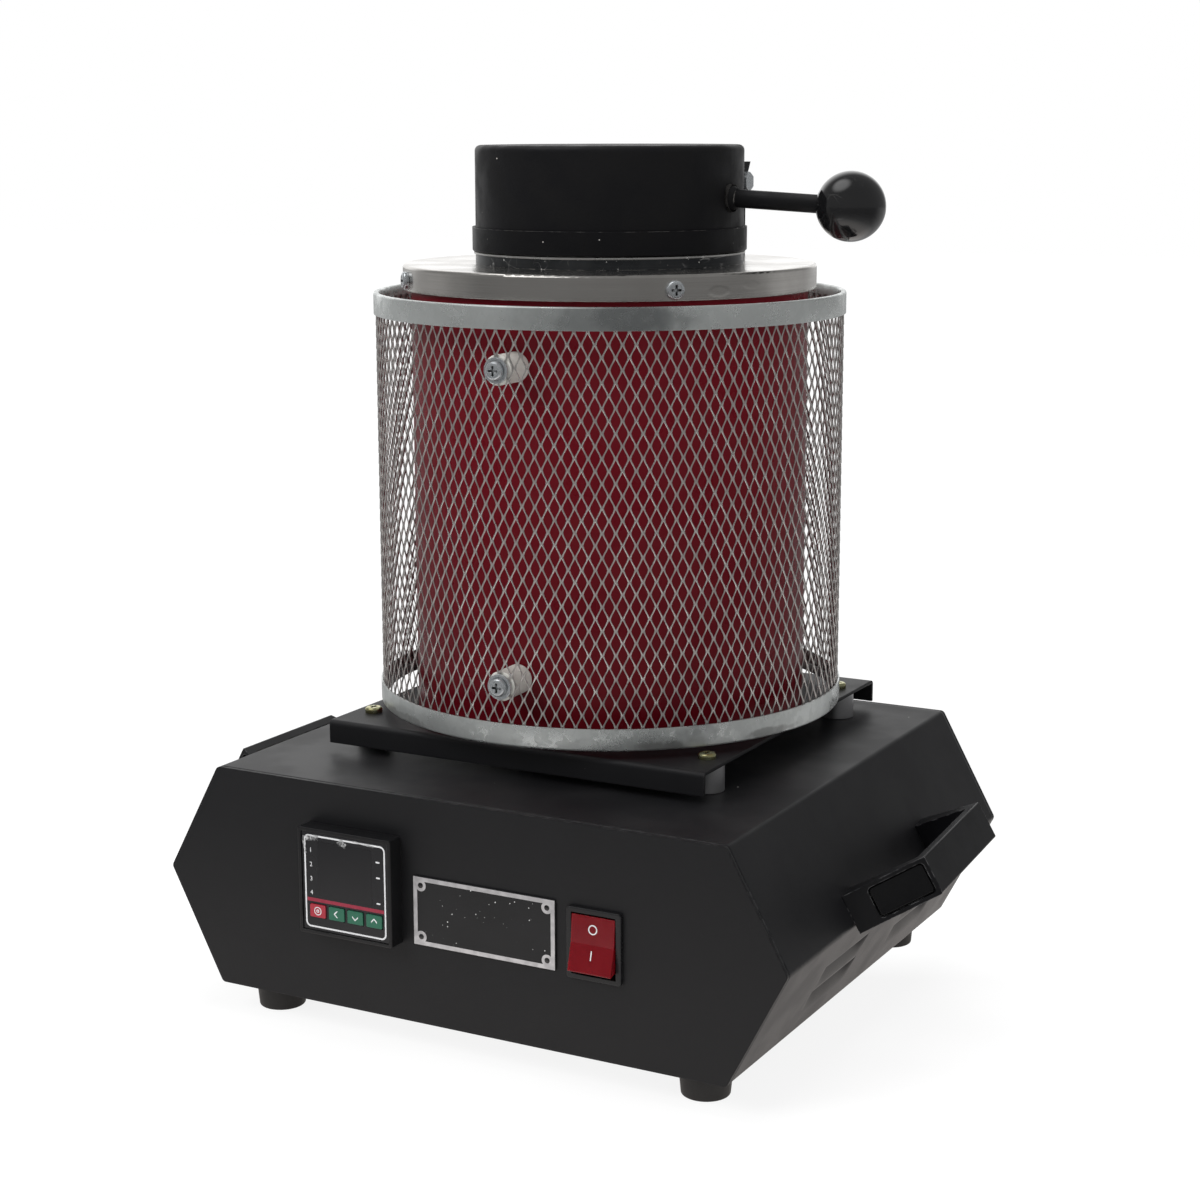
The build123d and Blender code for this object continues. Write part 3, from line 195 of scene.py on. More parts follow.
class Effects:
    """The node groups that several finishes share, each built once."""

    def __init__(self) -> None:
        """Builds every group."""
        self.specks = self._specks()
        self.grain = self._grain()
        self.edges = self._edges()
        self.patch = self._patch()
        self.scratches = self._scratches()
        self.turned = self._turned()
        self.spangle = self._spangle()
        self.settled = self._settled()
        self.crevices = self._crevices()

    def _open(self, name: str, inputs: dict[str, str], outputs: dict[str, str]
              ) -> tuple[Wiring, bpy.types.Node, bpy.types.Node]:
        """Starts a node group.

        Args:
            name: The group's name.
            inputs: Each input's name and socket kind, such as Float.
            outputs: Each output's name and socket kind.

        Returns:
            The group's wiring, its input node and its output node.
        """
        tree = bpy.data.node_groups.new(name, "ShaderNodeTree")
        for sockets, side in ((inputs, "INPUT"), (outputs, "OUTPUT")):
            for socket, kind in sockets.items():
                tree.interface.new_socket(socket, in_out=side, socket_type="NodeSocket" + kind)
        wiring = Wiring(tree)
        return wiring, wiring.add("NodeGroupInput"), wiring.add("NodeGroupOutput")

    def _specks(self) -> bpy.types.NodeTree:
        """Scattered round specks, such as dust on paint."""
        wiring, given, result = self._open(
            "specks", {"Vector": "Vector", "Scale": "Float", "Size": "Float"}, {"Mask": "Float"})
        cells = wiring.add("ShaderNodeTexVoronoi")
        wiring.feed(cells.inputs["Vector"], given.outputs["Vector"])
        wiring.feed(cells.inputs["Scale"], given.outputs["Scale"])
        random = wiring.add("ShaderNodeSeparateColor")
        wiring.feed(random.inputs[0], cells.outputs["Color"])
        size = wiring.math("MULTIPLY", given.outputs["Size"], random.outputs[0])
        size = wiring.math("MULTIPLY", size, wiring.math("GREATER_THAN", random.outputs[1], 0.55))
        inner = wiring.math("MULTIPLY", size, 0.6)
        near = wiring.spread(cells.outputs["Distance"], inner, wiring.math("ADD", size, 0.0001), 1.0, 0.0)
        present = wiring.math("GREATER_THAN", size, 0.0001)
        wiring.feed(result.inputs["Mask"], wiring.math("MULTIPLY", near, present))
        return wiring.tree

    def _grain(self) -> bpy.types.NodeTree:
        """Fine grain in two sizes, as on powder coat, moulded plastic or fired clay."""
        wiring, given, result = self._open(
            "grain", {"Vector": "Vector", "Scale": "Float"}, {"Height": "Float"})
        coarse = wiring.clouds(given.outputs["Vector"], given.outputs["Scale"], 2.0)
        fine_scale = wiring.math("MULTIPLY", given.outputs["Scale"], 3.1)
        fine = wiring.clouds(given.outputs["Vector"], fine_scale, 1.0)
        half = wiring.math("MULTIPLY", fine, 0.5)
        wiring.feed(result.inputs["Height"], wiring.math("ADD", coarse, half))
        return wiring.tree

    def _edges(self) -> bpy.types.NodeTree:
        """Where a surface turns a corner: a mask there, and a normal that rounds it."""
        wiring, given, result = self._open(
            "edges", {"Radius": "Float"}, {"Mask": "Float", "Normal": "Vector"})
        rounded = wiring.add("ShaderNodeBevel", samples=6)
        wiring.feed(rounded.inputs["Radius"], given.outputs["Radius"])
        flat = wiring.add("ShaderNodeNewGeometry")
        facing = wiring.vector("DOT_PRODUCT", rounded.outputs[0], flat.outputs["True Normal"], 1)
        wiring.feed(result.inputs["Mask"], wiring.spread(facing, 0.985, 0.86, 0.0, 1.0))
        wiring.feed(result.inputs["Normal"], rounded.outputs[0])
        return wiring.tree

    def _patch(self) -> bpy.types.NodeTree:
        """A soft ragged patch round a point, such as a stain, a scorch, a dent or a painted dark reflection.
        """
        wiring, given, result = self._open(
            "patch", {"Vector": "Vector", "Centre": "Vector", "Size": "Vector", "Ragged": "Float"},
            {"Mask": "Float"})
        away = wiring.vector("SUBTRACT", given.outputs["Vector"], given.outputs["Centre"])
        away = wiring.vector("DIVIDE", away, given.outputs["Size"])
        reach = wiring.vector("LENGTH", away, output=1)
        ragged = wiring.clouds(given.outputs["Vector"], 160.0, 4.0)
        ragged = wiring.math("MULTIPLY", wiring.math("SUBTRACT", ragged, 0.5), given.outputs["Ragged"])
        reach = wiring.math("ADD", reach, ragged)
        wiring.feed(result.inputs["Mask"], wiring.spread(reach, 0.55, 1.0, 1.0, 0.0))
        return wiring.tree

    def _scratches(self) -> bpy.types.NodeTree:
        """Thin broken scratches that run two ways."""
        wiring, given, result = self._open(
            "scratches", {"Vector": "Vector", "Scale": "Float", "Width": "Float"}, {"Mask": "Float"})
        masks = []
        for turn, seed in ((0.5, 3.1), (-0.9, 7.7)):
            tilt = wiring.add("ShaderNodeMapping")
            wiring.feed(tilt.inputs["Vector"], given.outputs["Vector"])
            tilt.inputs["Location"].default_value = (seed, seed, seed)
            tilt.inputs["Rotation"].default_value = (turn, turn * 0.7, turn)
            tilt.inputs["Scale"].default_value = (1.0, 0.07, 1.0)
            lines = wiring.clouds(tilt.outputs[0], given.outputs["Scale"], 1.0)
            away = wiring.math("ABSOLUTE", wiring.math("SUBTRACT", lines, 0.5))
            masks.append(wiring.spread(away, 0.0, given.outputs["Width"], 1.0, 0.0))
        broken = wiring.spread(wiring.clouds(given.outputs["Vector"], 90.0, 2.0), 0.5, 0.62)
        both = wiring.math("MAXIMUM", *masks)
        wiring.feed(result.inputs["Mask"], wiring.math("MULTIPLY", both, broken))
        return wiring.tree

    def _turned(self) -> bpy.types.NodeTree:
        """Fine lines round an upright axis, as turning or polishing leaves."""
        wiring, given, result = self._open(
            "turned", {"Vector": "Vector", "Scale": "Float"}, {"Height": "Float"})
        parts = wiring.add("ShaderNodeSeparateXYZ")
        wiring.feed(parts.inputs[0], given.outputs["Vector"])
        flat = wiring.add("ShaderNodeCombineXYZ")
        wiring.feed(flat.inputs[0], parts.outputs[0])
        wiring.feed(flat.inputs[1], parts.outputs[1])
        radius = wiring.vector("LENGTH", flat.outputs[0], output=1)
        lines = wiring.add("ShaderNodeCombineXYZ")
        wiring.feed(lines.inputs[0], wiring.math("MULTIPLY", radius, given.outputs["Scale"]))
        wiring.feed(lines.inputs[1], wiring.math("MULTIPLY", parts.outputs[2], given.outputs["Scale"]))
        wiring.feed(lines.inputs[2], wiring.math("MULTIPLY", parts.outputs[0], 9.0))
        wiring.feed(result.inputs["Height"], wiring.clouds(lines.outputs[0], 1.0, 3.0))
        return wiring.tree

    def _spangle(self) -> bpy.types.NodeTree:
        """The grey crystal flakes of hot-dip galvanising, smeared by rolling."""
        wiring, given, result = self._open(
            "spangle", {"Vector": "Vector", "Scale": "Float"}, {"Shade": "Float"})
        bend = wiring.clouds(given.outputs["Vector"], given.outputs["Scale"], 3.0, output=1)
        bend = wiring.vector("MULTIPLY", bend, (0.006, 0.006, 0.006))
        cells = wiring.add("ShaderNodeTexVoronoi", distance="MANHATTAN")
        wiring.feed(cells.inputs["Vector"], wiring.vector("ADD", given.outputs["Vector"], bend))
        wiring.feed(cells.inputs["Scale"], given.outputs["Scale"])
        shade = wiring.add("ShaderNodeSeparateColor")
        wiring.feed(shade.inputs[0], cells.outputs["Color"])
        fine_scale = wiring.math("MULTIPLY", given.outputs["Scale"], 4.0)
        fine = wiring.clouds(given.outputs["Vector"], fine_scale, 3.0)
        shades = wiring.math("MULTIPLY", shade.outputs[0], 0.5)
        wiring.feed(result.inputs["Shade"], wiring.math("ADD", shades, wiring.math("MULTIPLY", fine, 0.5)))
        return wiring.tree

    def _crevices(self) -> bpy.types.NodeTree:
        """Painted shade in slots and inner corners, found by ambient occlusion."""
        wiring, given, result = self._open("crevices", {"Reach": "Float"}, {"Mask": "Float"})
        near = wiring.add("ShaderNodeAmbientOcclusion", samples=8, only_local=True)
        wiring.feed(near.inputs["Distance"], given.outputs["Reach"])
        wiring.feed(result.inputs["Mask"], wiring.spread(near.outputs["AO"], 0.4, 0.85, 1.0, 0.0))
        return wiring.tree

    def _settled(self) -> bpy.types.NodeTree:
        """Dust that has settled unevenly where a surface faces up."""
        wiring, given, result = self._open(
            "settled", {"Vector": "Vector", "Scale": "Float"}, {"Mask": "Float"})
        facing = wiring.add("ShaderNodeTexCoord")
        parts = wiring.add("ShaderNodeSeparateXYZ")
        wiring.feed(parts.inputs[0], facing.outputs["Normal"])
        upward = wiring.spread(parts.outputs[2], 0.25, 0.95)
        uneven = wiring.spread(wiring.clouds(given.outputs["Vector"], given.outputs["Scale"], 5.0), 0.4, 0.75)
        wiring.feed(result.inputs["Mask"], wiring.math("MULTIPLY", upward, uneven))
        return wiring.tree


EFFECTS = Effects()


# --- Finishes ---


DUST: Colour = (0.42, 0.41, 0.4)
DUST_SCALE = 25.0
# The near-black colour of the painted shade in slots and inner corners.
CREVICE_SHADE: Colour = (0.02, 0.02, 0.02)
SCRATCH_AMOUNT = 0.6


class Marks(Enum):
    """What working the surface left on it."""

    NONE = "none"
    TURNED = "turned"
    SPANGLE = "spangle"


@dataclass(frozen=True)
class Patch:
    """A stain, scorch, dent, worn place or painted dark reflection at one spot of a finish."""

    centre: Triple
    size: Triple
    colour: Colour
    amount: float = 1.0
    roughness: float = 0.5
    ragged: float = 1.2
    depth: float = 0.0


@dataclass(frozen=True)
class Fade:
    """A second colour that comes in with height, from start to end."""

    colour: Colour
    start: float
    end: float


@dataclass(frozen=True)
class Finish:
    """What every surface has: a colour that isn't quite even, a sheen, a grain and rounded edges."""

    name: str
    colour: Colour
    roughness: float = 0.5
    specular: float = 0.5
    second: Colour | None = None
    cloud_scale: float = 40.0
    cloud_amount: float = 0.35
    uneven_sheen: float = 0.08
    grain_scale: float = 1500.0
    grain_depth: float = 0.00002
    edge_radius: float = 0.0004
    # Edge colour: a painted edge highlight on some finishes, real edge wear on others.
    wear: Colour | None = None
    wear_amount: float = 0.5
    speck: Colour | None = None
    speck_scale: float = 130.0
    speck_size: float = 0.05
    dust: float = 0.0
    dust_colour: Colour = (0.32, 0.31, 0.3)
    scratch: Colour | None = None
    scratch_scale: float = 60.0
    scratch_width: float = 0.006
    grime: float = 0.0
    grime_reach: float = 0.0012
    marks: Marks = Marks.NONE
    marks_scale: float = 3000.0
    axis: tuple[float, float] = (0.0, 0.0)
    patches: tuple[Patch, ...] = ()
    fade: Fade | None = None

    metallic = 0.0
    coat = 0.0
    coat_roughness = 0.1

    def material(self) -> bpy.types.Material:
        """Builds the material, or finds it if it is built.

        Returns:
            The material.
        """
        found = bpy.data.materials.get(self.name)
        if found:
            return found
        material = bpy.data.materials.new(self.name)
        material.use_nodes = True
        material.diffuse_color = (*self.colour, 1.0)
        material.node_tree.nodes.clear()
        wiring = Wiring(material.node_tree)
        output = wiring.add("ShaderNodeOutputMaterial")
        shader = wiring.add("ShaderNodeBsdfPrincipled")
        place = wiring.add("ShaderNodeTexCoord").outputs["Object"]
        colour, roughness, height = self.surface(wiring, place)
        colour, roughness, height, covered = self.ageing(wiring, place, colour, roughness, height)
        edges = wiring.effect(EFFECTS.edges, radius=self.edge_radius)
        # Lighter colour along edges, broken up by noise: partly real edge wear, partly a painted edge
        # highlight.
        if self.wear:
            worn_and_lit_edges = wiring.spread(wiring.clouds(place, 300.0, 4.0), 0.45, 0.6)
            worn_and_lit_edges = wiring.math("MULTIPLY", worn_and_lit_edges, edges.outputs["Mask"])
            colour = wiring.mix(wiring.math("MULTIPLY", worn_and_lit_edges, self.wear_amount), colour, self.wear)
        bump = wiring.add("ShaderNodeBump")
        wiring.feed(bump.inputs["Strength"], 1.0)
        wiring.feed(bump.inputs["Distance"], self.grain_depth)
        wiring.feed(bump.inputs["Height"], height)
        wiring.feed(bump.inputs["Normal"], edges.outputs["Normal"])
        wiring.feed(shader.inputs["Base Color"], colour)
        wiring.feed(shader.inputs["Roughness"], roughness)
        wiring.feed(shader.inputs["Normal"], bump.outputs[0])
        shader.inputs["Metallic"].default_value = self.metallic
        if self.metallic and covered:
            bare = wiring.spread(covered, 0.0, 1.0, self.metallic, 0.0)
            wiring.feed(shader.inputs["Metallic"], bare)
        shader.inputs["Specular IOR Level"].default_value = self.specular
        shader.inputs["Coat Weight"].default_value = self.coat
        shader.inputs["Coat Roughness"].default_value = self.coat_roughness
        self.light(wiring, shader, place)
        wiring.feed(output.inputs["Surface"], shader.outputs[0])
        return material

    def light(self, wiring: Wiring, shader: bpy.types.Node, place: bpy.types.NodeSocket) -> None:
        """Sets what else the finish needs on the shader, which is nothing here."""

    def surface(self, wiring: Wiring, place: bpy.types.NodeSocket
                ) -> tuple[object, bpy.types.NodeSocket, bpy.types.NodeSocket]:
        """Makes the clean surface.

        Args:
            wiring: The material's wiring.
            place: The object coordinates.

        Returns:
            The colour, the roughness and the height of the grain.
        """
        colour = self.colour
        uneven = wiring.spread(wiring.clouds(place, self.cloud_scale, 4.0), 0.3, 0.7)
        if self.second:
            colour = wiring.mix(wiring.math("MULTIPLY", uneven, self.cloud_amount), colour, self.second)
        if self.fade:
            parts = wiring.add("ShaderNodeSeparateXYZ")
            wiring.feed(parts.inputs[0], place)
            colour = wiring.mix(wiring.spread(parts.outputs[2], self.fade.start, self.fade.end), colour,
                                self.fade.colour)
        height = wiring.effect(EFFECTS.grain, vector=place, scale=self.grain_scale).outputs["Height"]
        low = max(self.roughness - self.uneven_sheen, 0.02)
        roughness = wiring.spread(uneven, 0.0, 1.0, low, self.roughness + self.uneven_sheen)
        if self.marks is Marks.TURNED:
            centred = wiring.vector("SUBTRACT", place, (*self.axis, 0.0))
            lines = wiring.effect(EFFECTS.turned, vector=centred, scale=self.marks_scale).outputs["Height"]
            height = wiring.math("ADD", wiring.math("MULTIPLY", height, 0.3), lines)
            lines = wiring.spread(lines, 0.35, 0.7, 0.0, 0.35)
            colour = wiring.mix(lines, colour, self.second or self.colour)
        if self.marks is Marks.SPANGLE:
            shade = wiring.effect(EFFECTS.spangle, vector=place, scale=self.marks_scale).outputs["Shade"]
            colour = wiring.mix(wiring.spread(shade, 0.2, 0.75), colour, self.second or self.colour)
            roughness = wiring.math("ADD", roughness, wiring.spread(shade, 0.2, 0.75, -0.08, 0.1))
        return colour, roughness, height

    def ageing(self, wiring: Wiring, place: bpy.types.NodeSocket, colour: object,
               roughness: bpy.types.NodeSocket, height: bpy.types.NodeSocket
               ) -> tuple[object, bpy.types.NodeSocket, bpy.types.NodeSocket, bpy.types.NodeSocket | None]:
        """Adds stains and other patches, scratches, painted shade in crevices, settled dust and specks.

        Args:
            wiring: The material's wiring.
            place: The object coordinates.
            colour: The clean colour.
            roughness: The clean roughness.
            height: The grain's height.

        Returns:
            The colour, the roughness and the height with the ageing and the painted shade on them, and where
            specks and scratches cover the surface.
        """
        covered = None
        for spot in self.patches:
            mask = wiring.effect(EFFECTS.patch, vector=place, centre=spot.centre, size=spot.size,
                                 ragged=spot.ragged).outputs["Mask"]
            mask = wiring.math("MULTIPLY", mask, spot.amount)
            colour = wiring.mix(mask, colour, spot.colour)
            gain = wiring.math("MULTIPLY", mask, spot.roughness - self.roughness)
            roughness = wiring.math("ADD", roughness, gain, clamp=True)
            if spot.depth:
                height = wiring.math("ADD", height, wiring.math("MULTIPLY", mask, spot.depth))
        if self.scratch:
            mask = wiring.effect(EFFECTS.scratches, vector=place, scale=self.scratch_scale,
                                 width=self.scratch_width).outputs["Mask"]
            covered = wiring.math("MULTIPLY", mask, SCRATCH_AMOUNT)
            colour = wiring.mix(covered, colour, self.scratch)
        # Painted shade: slots and inner corners are darkened towards near black by ambient occlusion, and
        # made rougher.
        if self.grime:
            mask = wiring.effect(EFFECTS.crevices, reach=self.grime_reach).outputs["Mask"]
            mask = wiring.math("MULTIPLY", mask, self.grime)
            colour = wiring.mix(mask, colour, CREVICE_SHADE)
            roughness = wiring.math("ADD", roughness, wiring.math("MULTIPLY", mask, 0.3), clamp=True)
        if self.dust:
            mask = wiring.effect(EFFECTS.settled, vector=place, scale=DUST_SCALE).outputs["Mask"]
            mask = wiring.math("MULTIPLY", mask, self.dust)
            colour = wiring.mix(mask, colour, self.dust_colour)
            roughness = wiring.math("ADD", roughness, wiring.math("MULTIPLY", mask, 0.3), clamp=True)
        if self.speck:
            mask = wiring.effect(EFFECTS.specks, vector=place, scale=self.speck_scale,
                                 size=self.speck_size).outputs["Mask"]
            colour = wiring.mix(mask, colour, self.speck)
            roughness = wiring.math("ADD", roughness, wiring.math("MULTIPLY", mask, 0.4), clamp=True)
            covered = wiring.math("MAXIMUM", mask, covered) if covered else mask
        return colour, roughness, height, covered


@dataclass(frozen=True)
class Coating(Finish):
    """Paint, powder coat or plastic."""

    coat: float = 0.0
    coat_roughness: float = 0.08
    glow: float = 0.0

    def light(self, wiring: Wiring, shader: bpy.types.Node, place: bpy.types.NodeSocket) -> None:
        """Lets a little light into a clear plastic."""
        if self.glow:
            shader.inputs["Subsurface Weight"].default_value = self.glow
            shader.inputs["Subsurface Scale"].default_value = 0.004


@dataclass(frozen=True)
class Metal(Finish):
    """Bare or plated metal."""

    roughness: float = 0.3
    metallic: float = 1.0
    grain_depth: float = 0.000005
    cloud_amount: float = 0.6


@dataclass(frozen=True)
class DullMetal(Metal):
    """Plated metal gone dull, which scatters some of its light."""

    metallic: float = 0.85


@dataclass(frozen=True)
class Mineral(Finish):
    """Fired clay, pressed fibre or graphite: dull, with pits darkened by painted shade."""

    roughness: float = 0.85
    specular: float = 0.3
    grain_scale: float = 700.0
    grain_depth: float = 0.00012
    pit_scale: float = 350.0
    pit_colour: Colour = (0.3, 0.27, 0.22)

    def surface(self, wiring: Wiring, place: bpy.types.NodeSocket
                ) -> tuple[object, bpy.types.NodeSocket, bpy.types.NodeSocket]:
        """Adds pits with painted shade in them to the clean surface, and returns its colour, roughness and
        height.
        """
        colour, roughness, height = Finish.surface(self, wiring, place)
        pits = wiring.effect(EFFECTS.specks, vector=place, scale=self.pit_scale, size=0.32).outputs["Mask"]
        # Painted shade: the pits are darkened towards the pit shade colour.
        colour = wiring.mix(wiring.math("MULTIPLY", pits, 0.35), colour, self.pit_colour)
        height = wiring.math("SUBTRACT", height, pits)
        return colour, roughness, height


@dataclass(frozen=True)
class Film(Finish):
    """Thin clear plastic."""

    clear: float = 0.12
    creased: float = 0.6
    crease_scale: float = 900.0

    def light(self, wiring: Wiring, shader: bpy.types.Node, place: bpy.types.NodeSocket) -> None:
        """Makes the film clear between its creases."""
        creases = wiring.clouds(place, self.crease_scale, 3.0)
        wiring.feed(shader.inputs["Alpha"], wiring.spread(creases, 0.48, 0.64, self.clear, self.creased))


@dataclass(frozen=True)
class Circuitry(Coating):
    """A circuit board: green lacquer over fine copper tracks."""

    track: Colour = (0.08, 0.3, 0.1)
    track_scale: float = 260.0

    def surface(self, wiring: Wiring, place: bpy.types.NodeSocket
                ) -> tuple[object, bpy.types.NodeSocket, bpy.types.NodeSocket]:
        """Adds the tracks to the clean surface, and returns its colour, roughness and height."""
        colour, roughness, height = Finish.surface(self, wiring, place)
        cells = wiring.add("ShaderNodeTexVoronoi", distance="CHEBYCHEV", feature="F1")
        wiring.feed(cells.inputs["Vector"], place)
        wiring.feed(cells.inputs["Scale"], self.track_scale)
        rings = wiring.math("FRACT", wiring.math("MULTIPLY", cells.outputs["Distance"], 4.0))
        tracks = wiring.spread(rings, 0.55, 0.65)
        return wiring.mix(tracks, colour, self.track), roughness, wiring.math("ADD", height, tracks)


# --- Mesh helpers ---


def as_piece(shape: bmesh.types.BMesh, name: str, body: str, finish: Finish,
             stands_for: tuple[str, ...] = (), sharp: float = 35.0, turn_out: bool = True
             ) -> bpy.types.Object:
    """Makes a shape a piece of the furnace.

    Args:
        shape: The mesh, in place.
        name: The piece's name.
        body: The body that it rides on.
        finish: Its finish.
        stands_for: CAD nodes that it replaces.
        sharp: The angle in degrees past which an edge stays sharp.
        turn_out: Whether its faces are turned outwards first.

    Returns:
        The piece's object.
    """
    if turn_out:
        bmesh.ops.recalc_face_normals(shape, faces=shape.faces)
    mesh = bpy.data.meshes.new(name)
    shape.to_mesh(mesh)
    shape.free()
    mesh.shade_smooth()
    mesh.set_sharp_from_angle(angle=radians(sharp))
    piece = bpy.data.objects.new(name, mesh)
    bpy.context.scene.collection.objects.link(piece)
    mesh.materials.append(finish.material())
    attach(piece, body)
    if stands_for:
        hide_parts(*stands_for)
    LOG.info("%s: %d faces on %s", name, len(mesh.polygons), body)
    return piece


def dress(finish: Finish, *nodes: str) -> None:
    """Gives CAD nodes a finish.

    Args:
        finish: The finish.
        nodes: The nodes' names.
    """
    for node in nodes:
        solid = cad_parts[node]
        if not solid.material_slots:
            solid.data.materials.append(None)
        for held in solid.material_slots:
            held.material = finish.material()
        LOG.info("%s: %s", node, finish.name)


def turned(profile: Profile, centre: Vector, steps: int = 128, closed: bool = True) -> bmesh.types.BMesh:
    """Turns a profile all the way round an upright axis.

    Args:
        profile: Radius and height of each point.
        centre: A point on the axis.
        steps: How many steps the turn has.
        closed: Whether the last point joins the first.

    Returns:
        The turned mesh.
    """
    shape = bmesh.new()
    points = [shape.verts.new((centre.x + radius, centre.y, height)) for radius, height in profile]
    ends = points[1:] + points[:1] if closed else points[1:]
    edges = [shape.edges.new(pair) for pair in zip(points, ends)]
    bmesh.ops.spin(shape, geom=points + edges, cent=centre, axis=(0, 0, 1), dvec=(0, 0, 0), angle=2 * pi,
                   steps=steps, use_merge=True)
    bmesh.ops.remove_doubles(shape, verts=shape.verts, dist=1e-7)
    return shape


def rounded_sheet(shape: bmesh.types.BMesh, width: float, height: float, corner: float
                  ) -> bmesh.types.BMFace:
    """Adds a flat rectangle with round corners, in X and Y about the origin.

    Args:
        shape: The mesh that it goes into.
        width: Its size along X.
        height: Its size along Y.
        corner: The corners' radius.

    Returns:
        Its face.
    """
    made = bmesh.ops.create_grid(shape, x_segments=1, y_segments=1, size=0.5)["verts"]
    bmesh.ops.scale(shape, vec=(width, height, 1.0), verts=made)
    if corner:
        bmesh.ops.bevel(shape, geom=made, offset=corner, offset_type="OFFSET", affect="VERTICES", segments=5,
                        profile=0.5, material=-1)
    return max(shape.faces, key=lambda face: face.calc_area())


def thicken(shape: bmesh.types.BMesh, depth: float) -> None:
    """Gives flat faces a depth towards +Z."""
    raised = bmesh.ops.extrude_face_region(shape, geom=list(shape.faces))["geom"]
    moved = [part for part in raised if isinstance(part, bmesh.types.BMVert)]
    bmesh.ops.translate(shape, vec=(0, 0, depth), verts=moved)


def outline(width: float, height: float, corner: float, line: float, depth: float) -> bmesh.types.BMesh:
    """A thin line round a rounded rectangle.

    Args:
        width: The outer size along X.
        height: The outer size along Y.
        corner: The outer corners' radius.
        line: The line's width.
        depth: How far it stands off the surface.

    Returns:
        The outline, flat in X and Y.
    """
    shape = bmesh.new()
    inner = rounded_sheet(shape, width, height, corner)
    bmesh.ops.inset_region(shape, faces=[inner], thickness=line, use_boundary=True, use_even_offset=True)
    bmesh.ops.delete(shape, geom=[inner], context="FACES_ONLY")
    thicken(shape, depth)
    return shape


def ring(radius: float, line: float, depth: float, segments: int = 32) -> bmesh.types.BMesh:
    """A thin flat ring in X and Y about the origin, with its outer radius given."""
    shape = bmesh.new()
    bmesh.ops.create_circle(shape, cap_ends=True, segments=segments, radius=radius)
    inner = list(shape.faces)
    bmesh.ops.inset_region(shape, faces=inner, thickness=line, use_boundary=True, use_even_offset=True)
    bmesh.ops.delete(shape, geom=inner, context="FACES_ONLY")
    thicken(shape, depth)
    return shape


def bar(width: float, height: float, depth: float, corner: float = 0.0) -> bmesh.types.BMesh:
    """A thin flat bar in X and Y about the origin."""
    shape = bmesh.new()
    rounded_sheet(shape, width, height, corner)
    thicken(shape, depth)
    return shape


def chevron(reach: float, line: float, depth: float, turn: float) -> bmesh.types.BMesh:
    """A thin arrow head that points up along Y before it is turned.

    Args:
        reach: Half its width, and its height.
        line: The line's width, across.
        depth: How far it stands off the surface.
        turn: How far it is turned, in degrees.

    Returns:
        The arrow head, flat in X and Y.
    """
    shape = bmesh.new()
    rise = line * 1.4
    low = -reach / 2
    corners = [(-reach, low), (0, low + reach), (reach, low), (reach, low + rise), (0, low + reach + rise),
               (-reach, low + rise)]
    shape.faces.new([shape.verts.new((x, y, 0)) for x, y in corners])
    thicken(shape, depth)
    bmesh.ops.rotate(shape, verts=shape.verts, cent=(0, 0, 0), matrix=Matrix.Rotation(radians(turn), 3, "Z"))
    return shape


def facing_front(x: float, y: float, z: float) -> Matrix:
    """Stands a flat mark up to face the front, with its middle at a point."""
    return Matrix.Translation((x, y, z)) @ Matrix.Rotation(radians(90), 4, "X")


def join(shapes: list[bmesh.types.BMesh], places: list[Matrix]) -> bmesh.types.BMesh:
    """Puts shapes in their places and joins them.

    Args:
        shapes: The shapes, which are used up.
        places: Where each one goes.

    Returns:
        One mesh of them all.
    """
    whole = bmesh.new()
    for shape, place in zip(shapes, places):
        bmesh.ops.transform(shape, matrix=place, verts=shape.verts)
        part = bpy.data.meshes.new("part")
        shape.to_mesh(part)
        shape.free()
        whole.from_mesh(part)
        bpy.data.meshes.remove(part)
    return whole


def numeral(text: str, size: float, depth: float) -> bmesh.types.BMesh:
    """A plain numeral in X and Y about the origin.

    Args:
        text: The numeral.
        size: Its type size.
        depth: How far it stands off the surface.

    Returns:
        The numeral's mesh.
    """
    letters = bpy.data.curves.new("numeral", "FONT")
    letters.body = text
    letters.size = size
    letters.align_x = "CENTER"
    letters.align_y = "CENTER"
    letters.resolution_u = 3
    holder = bpy.data.objects.new("numeral", letters)
    flat = bpy.data.meshes.new_from_object(holder)
    shape = bmesh.new()
    shape.from_mesh(flat)
    bpy.data.objects.remove(holder)
    bpy.data.curves.remove(letters)
    bpy.data.meshes.remove(flat)
    thicken(shape, depth)
    return shape


def on_surface(node: str, x: float, z: float, lift: float) -> Matrix:
    """Where a flat mark lies on the front of a node, and how it leans.

    Args:
        node: The node's name.
        x: The mark's place across.
        z: The mark's height.
        lift: How far it stands off the surface.

    Returns:
        The place of the mark, whose own Z is the surface's outward direction.
    """
    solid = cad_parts[node]
    tree = BVHTree.FromPolygons([v.co for v in solid.data.vertices],
                                [tuple(face.vertices) for face in solid.data.polygons])
    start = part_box(node)[0].y - 0.01
    point, out, _, _ = tree.ray_cast(Vector((x, start, z)), Vector((0, 1, 0)))
    if out.y > 0:
        out = -out
    across = Vector((1, 0, 0))
    upward = out.cross(across).normalized()
    lean = Matrix((across, upward, out)).transposed().to_4x4()
    return Matrix.Translation(point + out * lift) @ lean


# --- The studio ---


@dataclass(frozen=True)
class Lamp:
    """A soft square lamp that looks at the furnace."""

    name: str
    place: Triple
    size: float
    watts: float

    def hang(self, target: Vector) -> None:
        """Hangs the lamp, out of sight of shiny surfaces, and turns it to the target."""
        data = bpy.data.lights.new(self.name, "AREA")
        data.shape = "SQUARE"
        data.size = self.size
        data.energy = self.watts
        lamp = bpy.data.objects.new(self.name, data)
        lamp.visible_glossy = False
        lamp.location = self.place
        lamp.rotation_euler = (target - Vector(self.place)).to_track_quat("-Z", "Y").to_euler()
        bpy.context.scene.collection.objects.link(lamp)


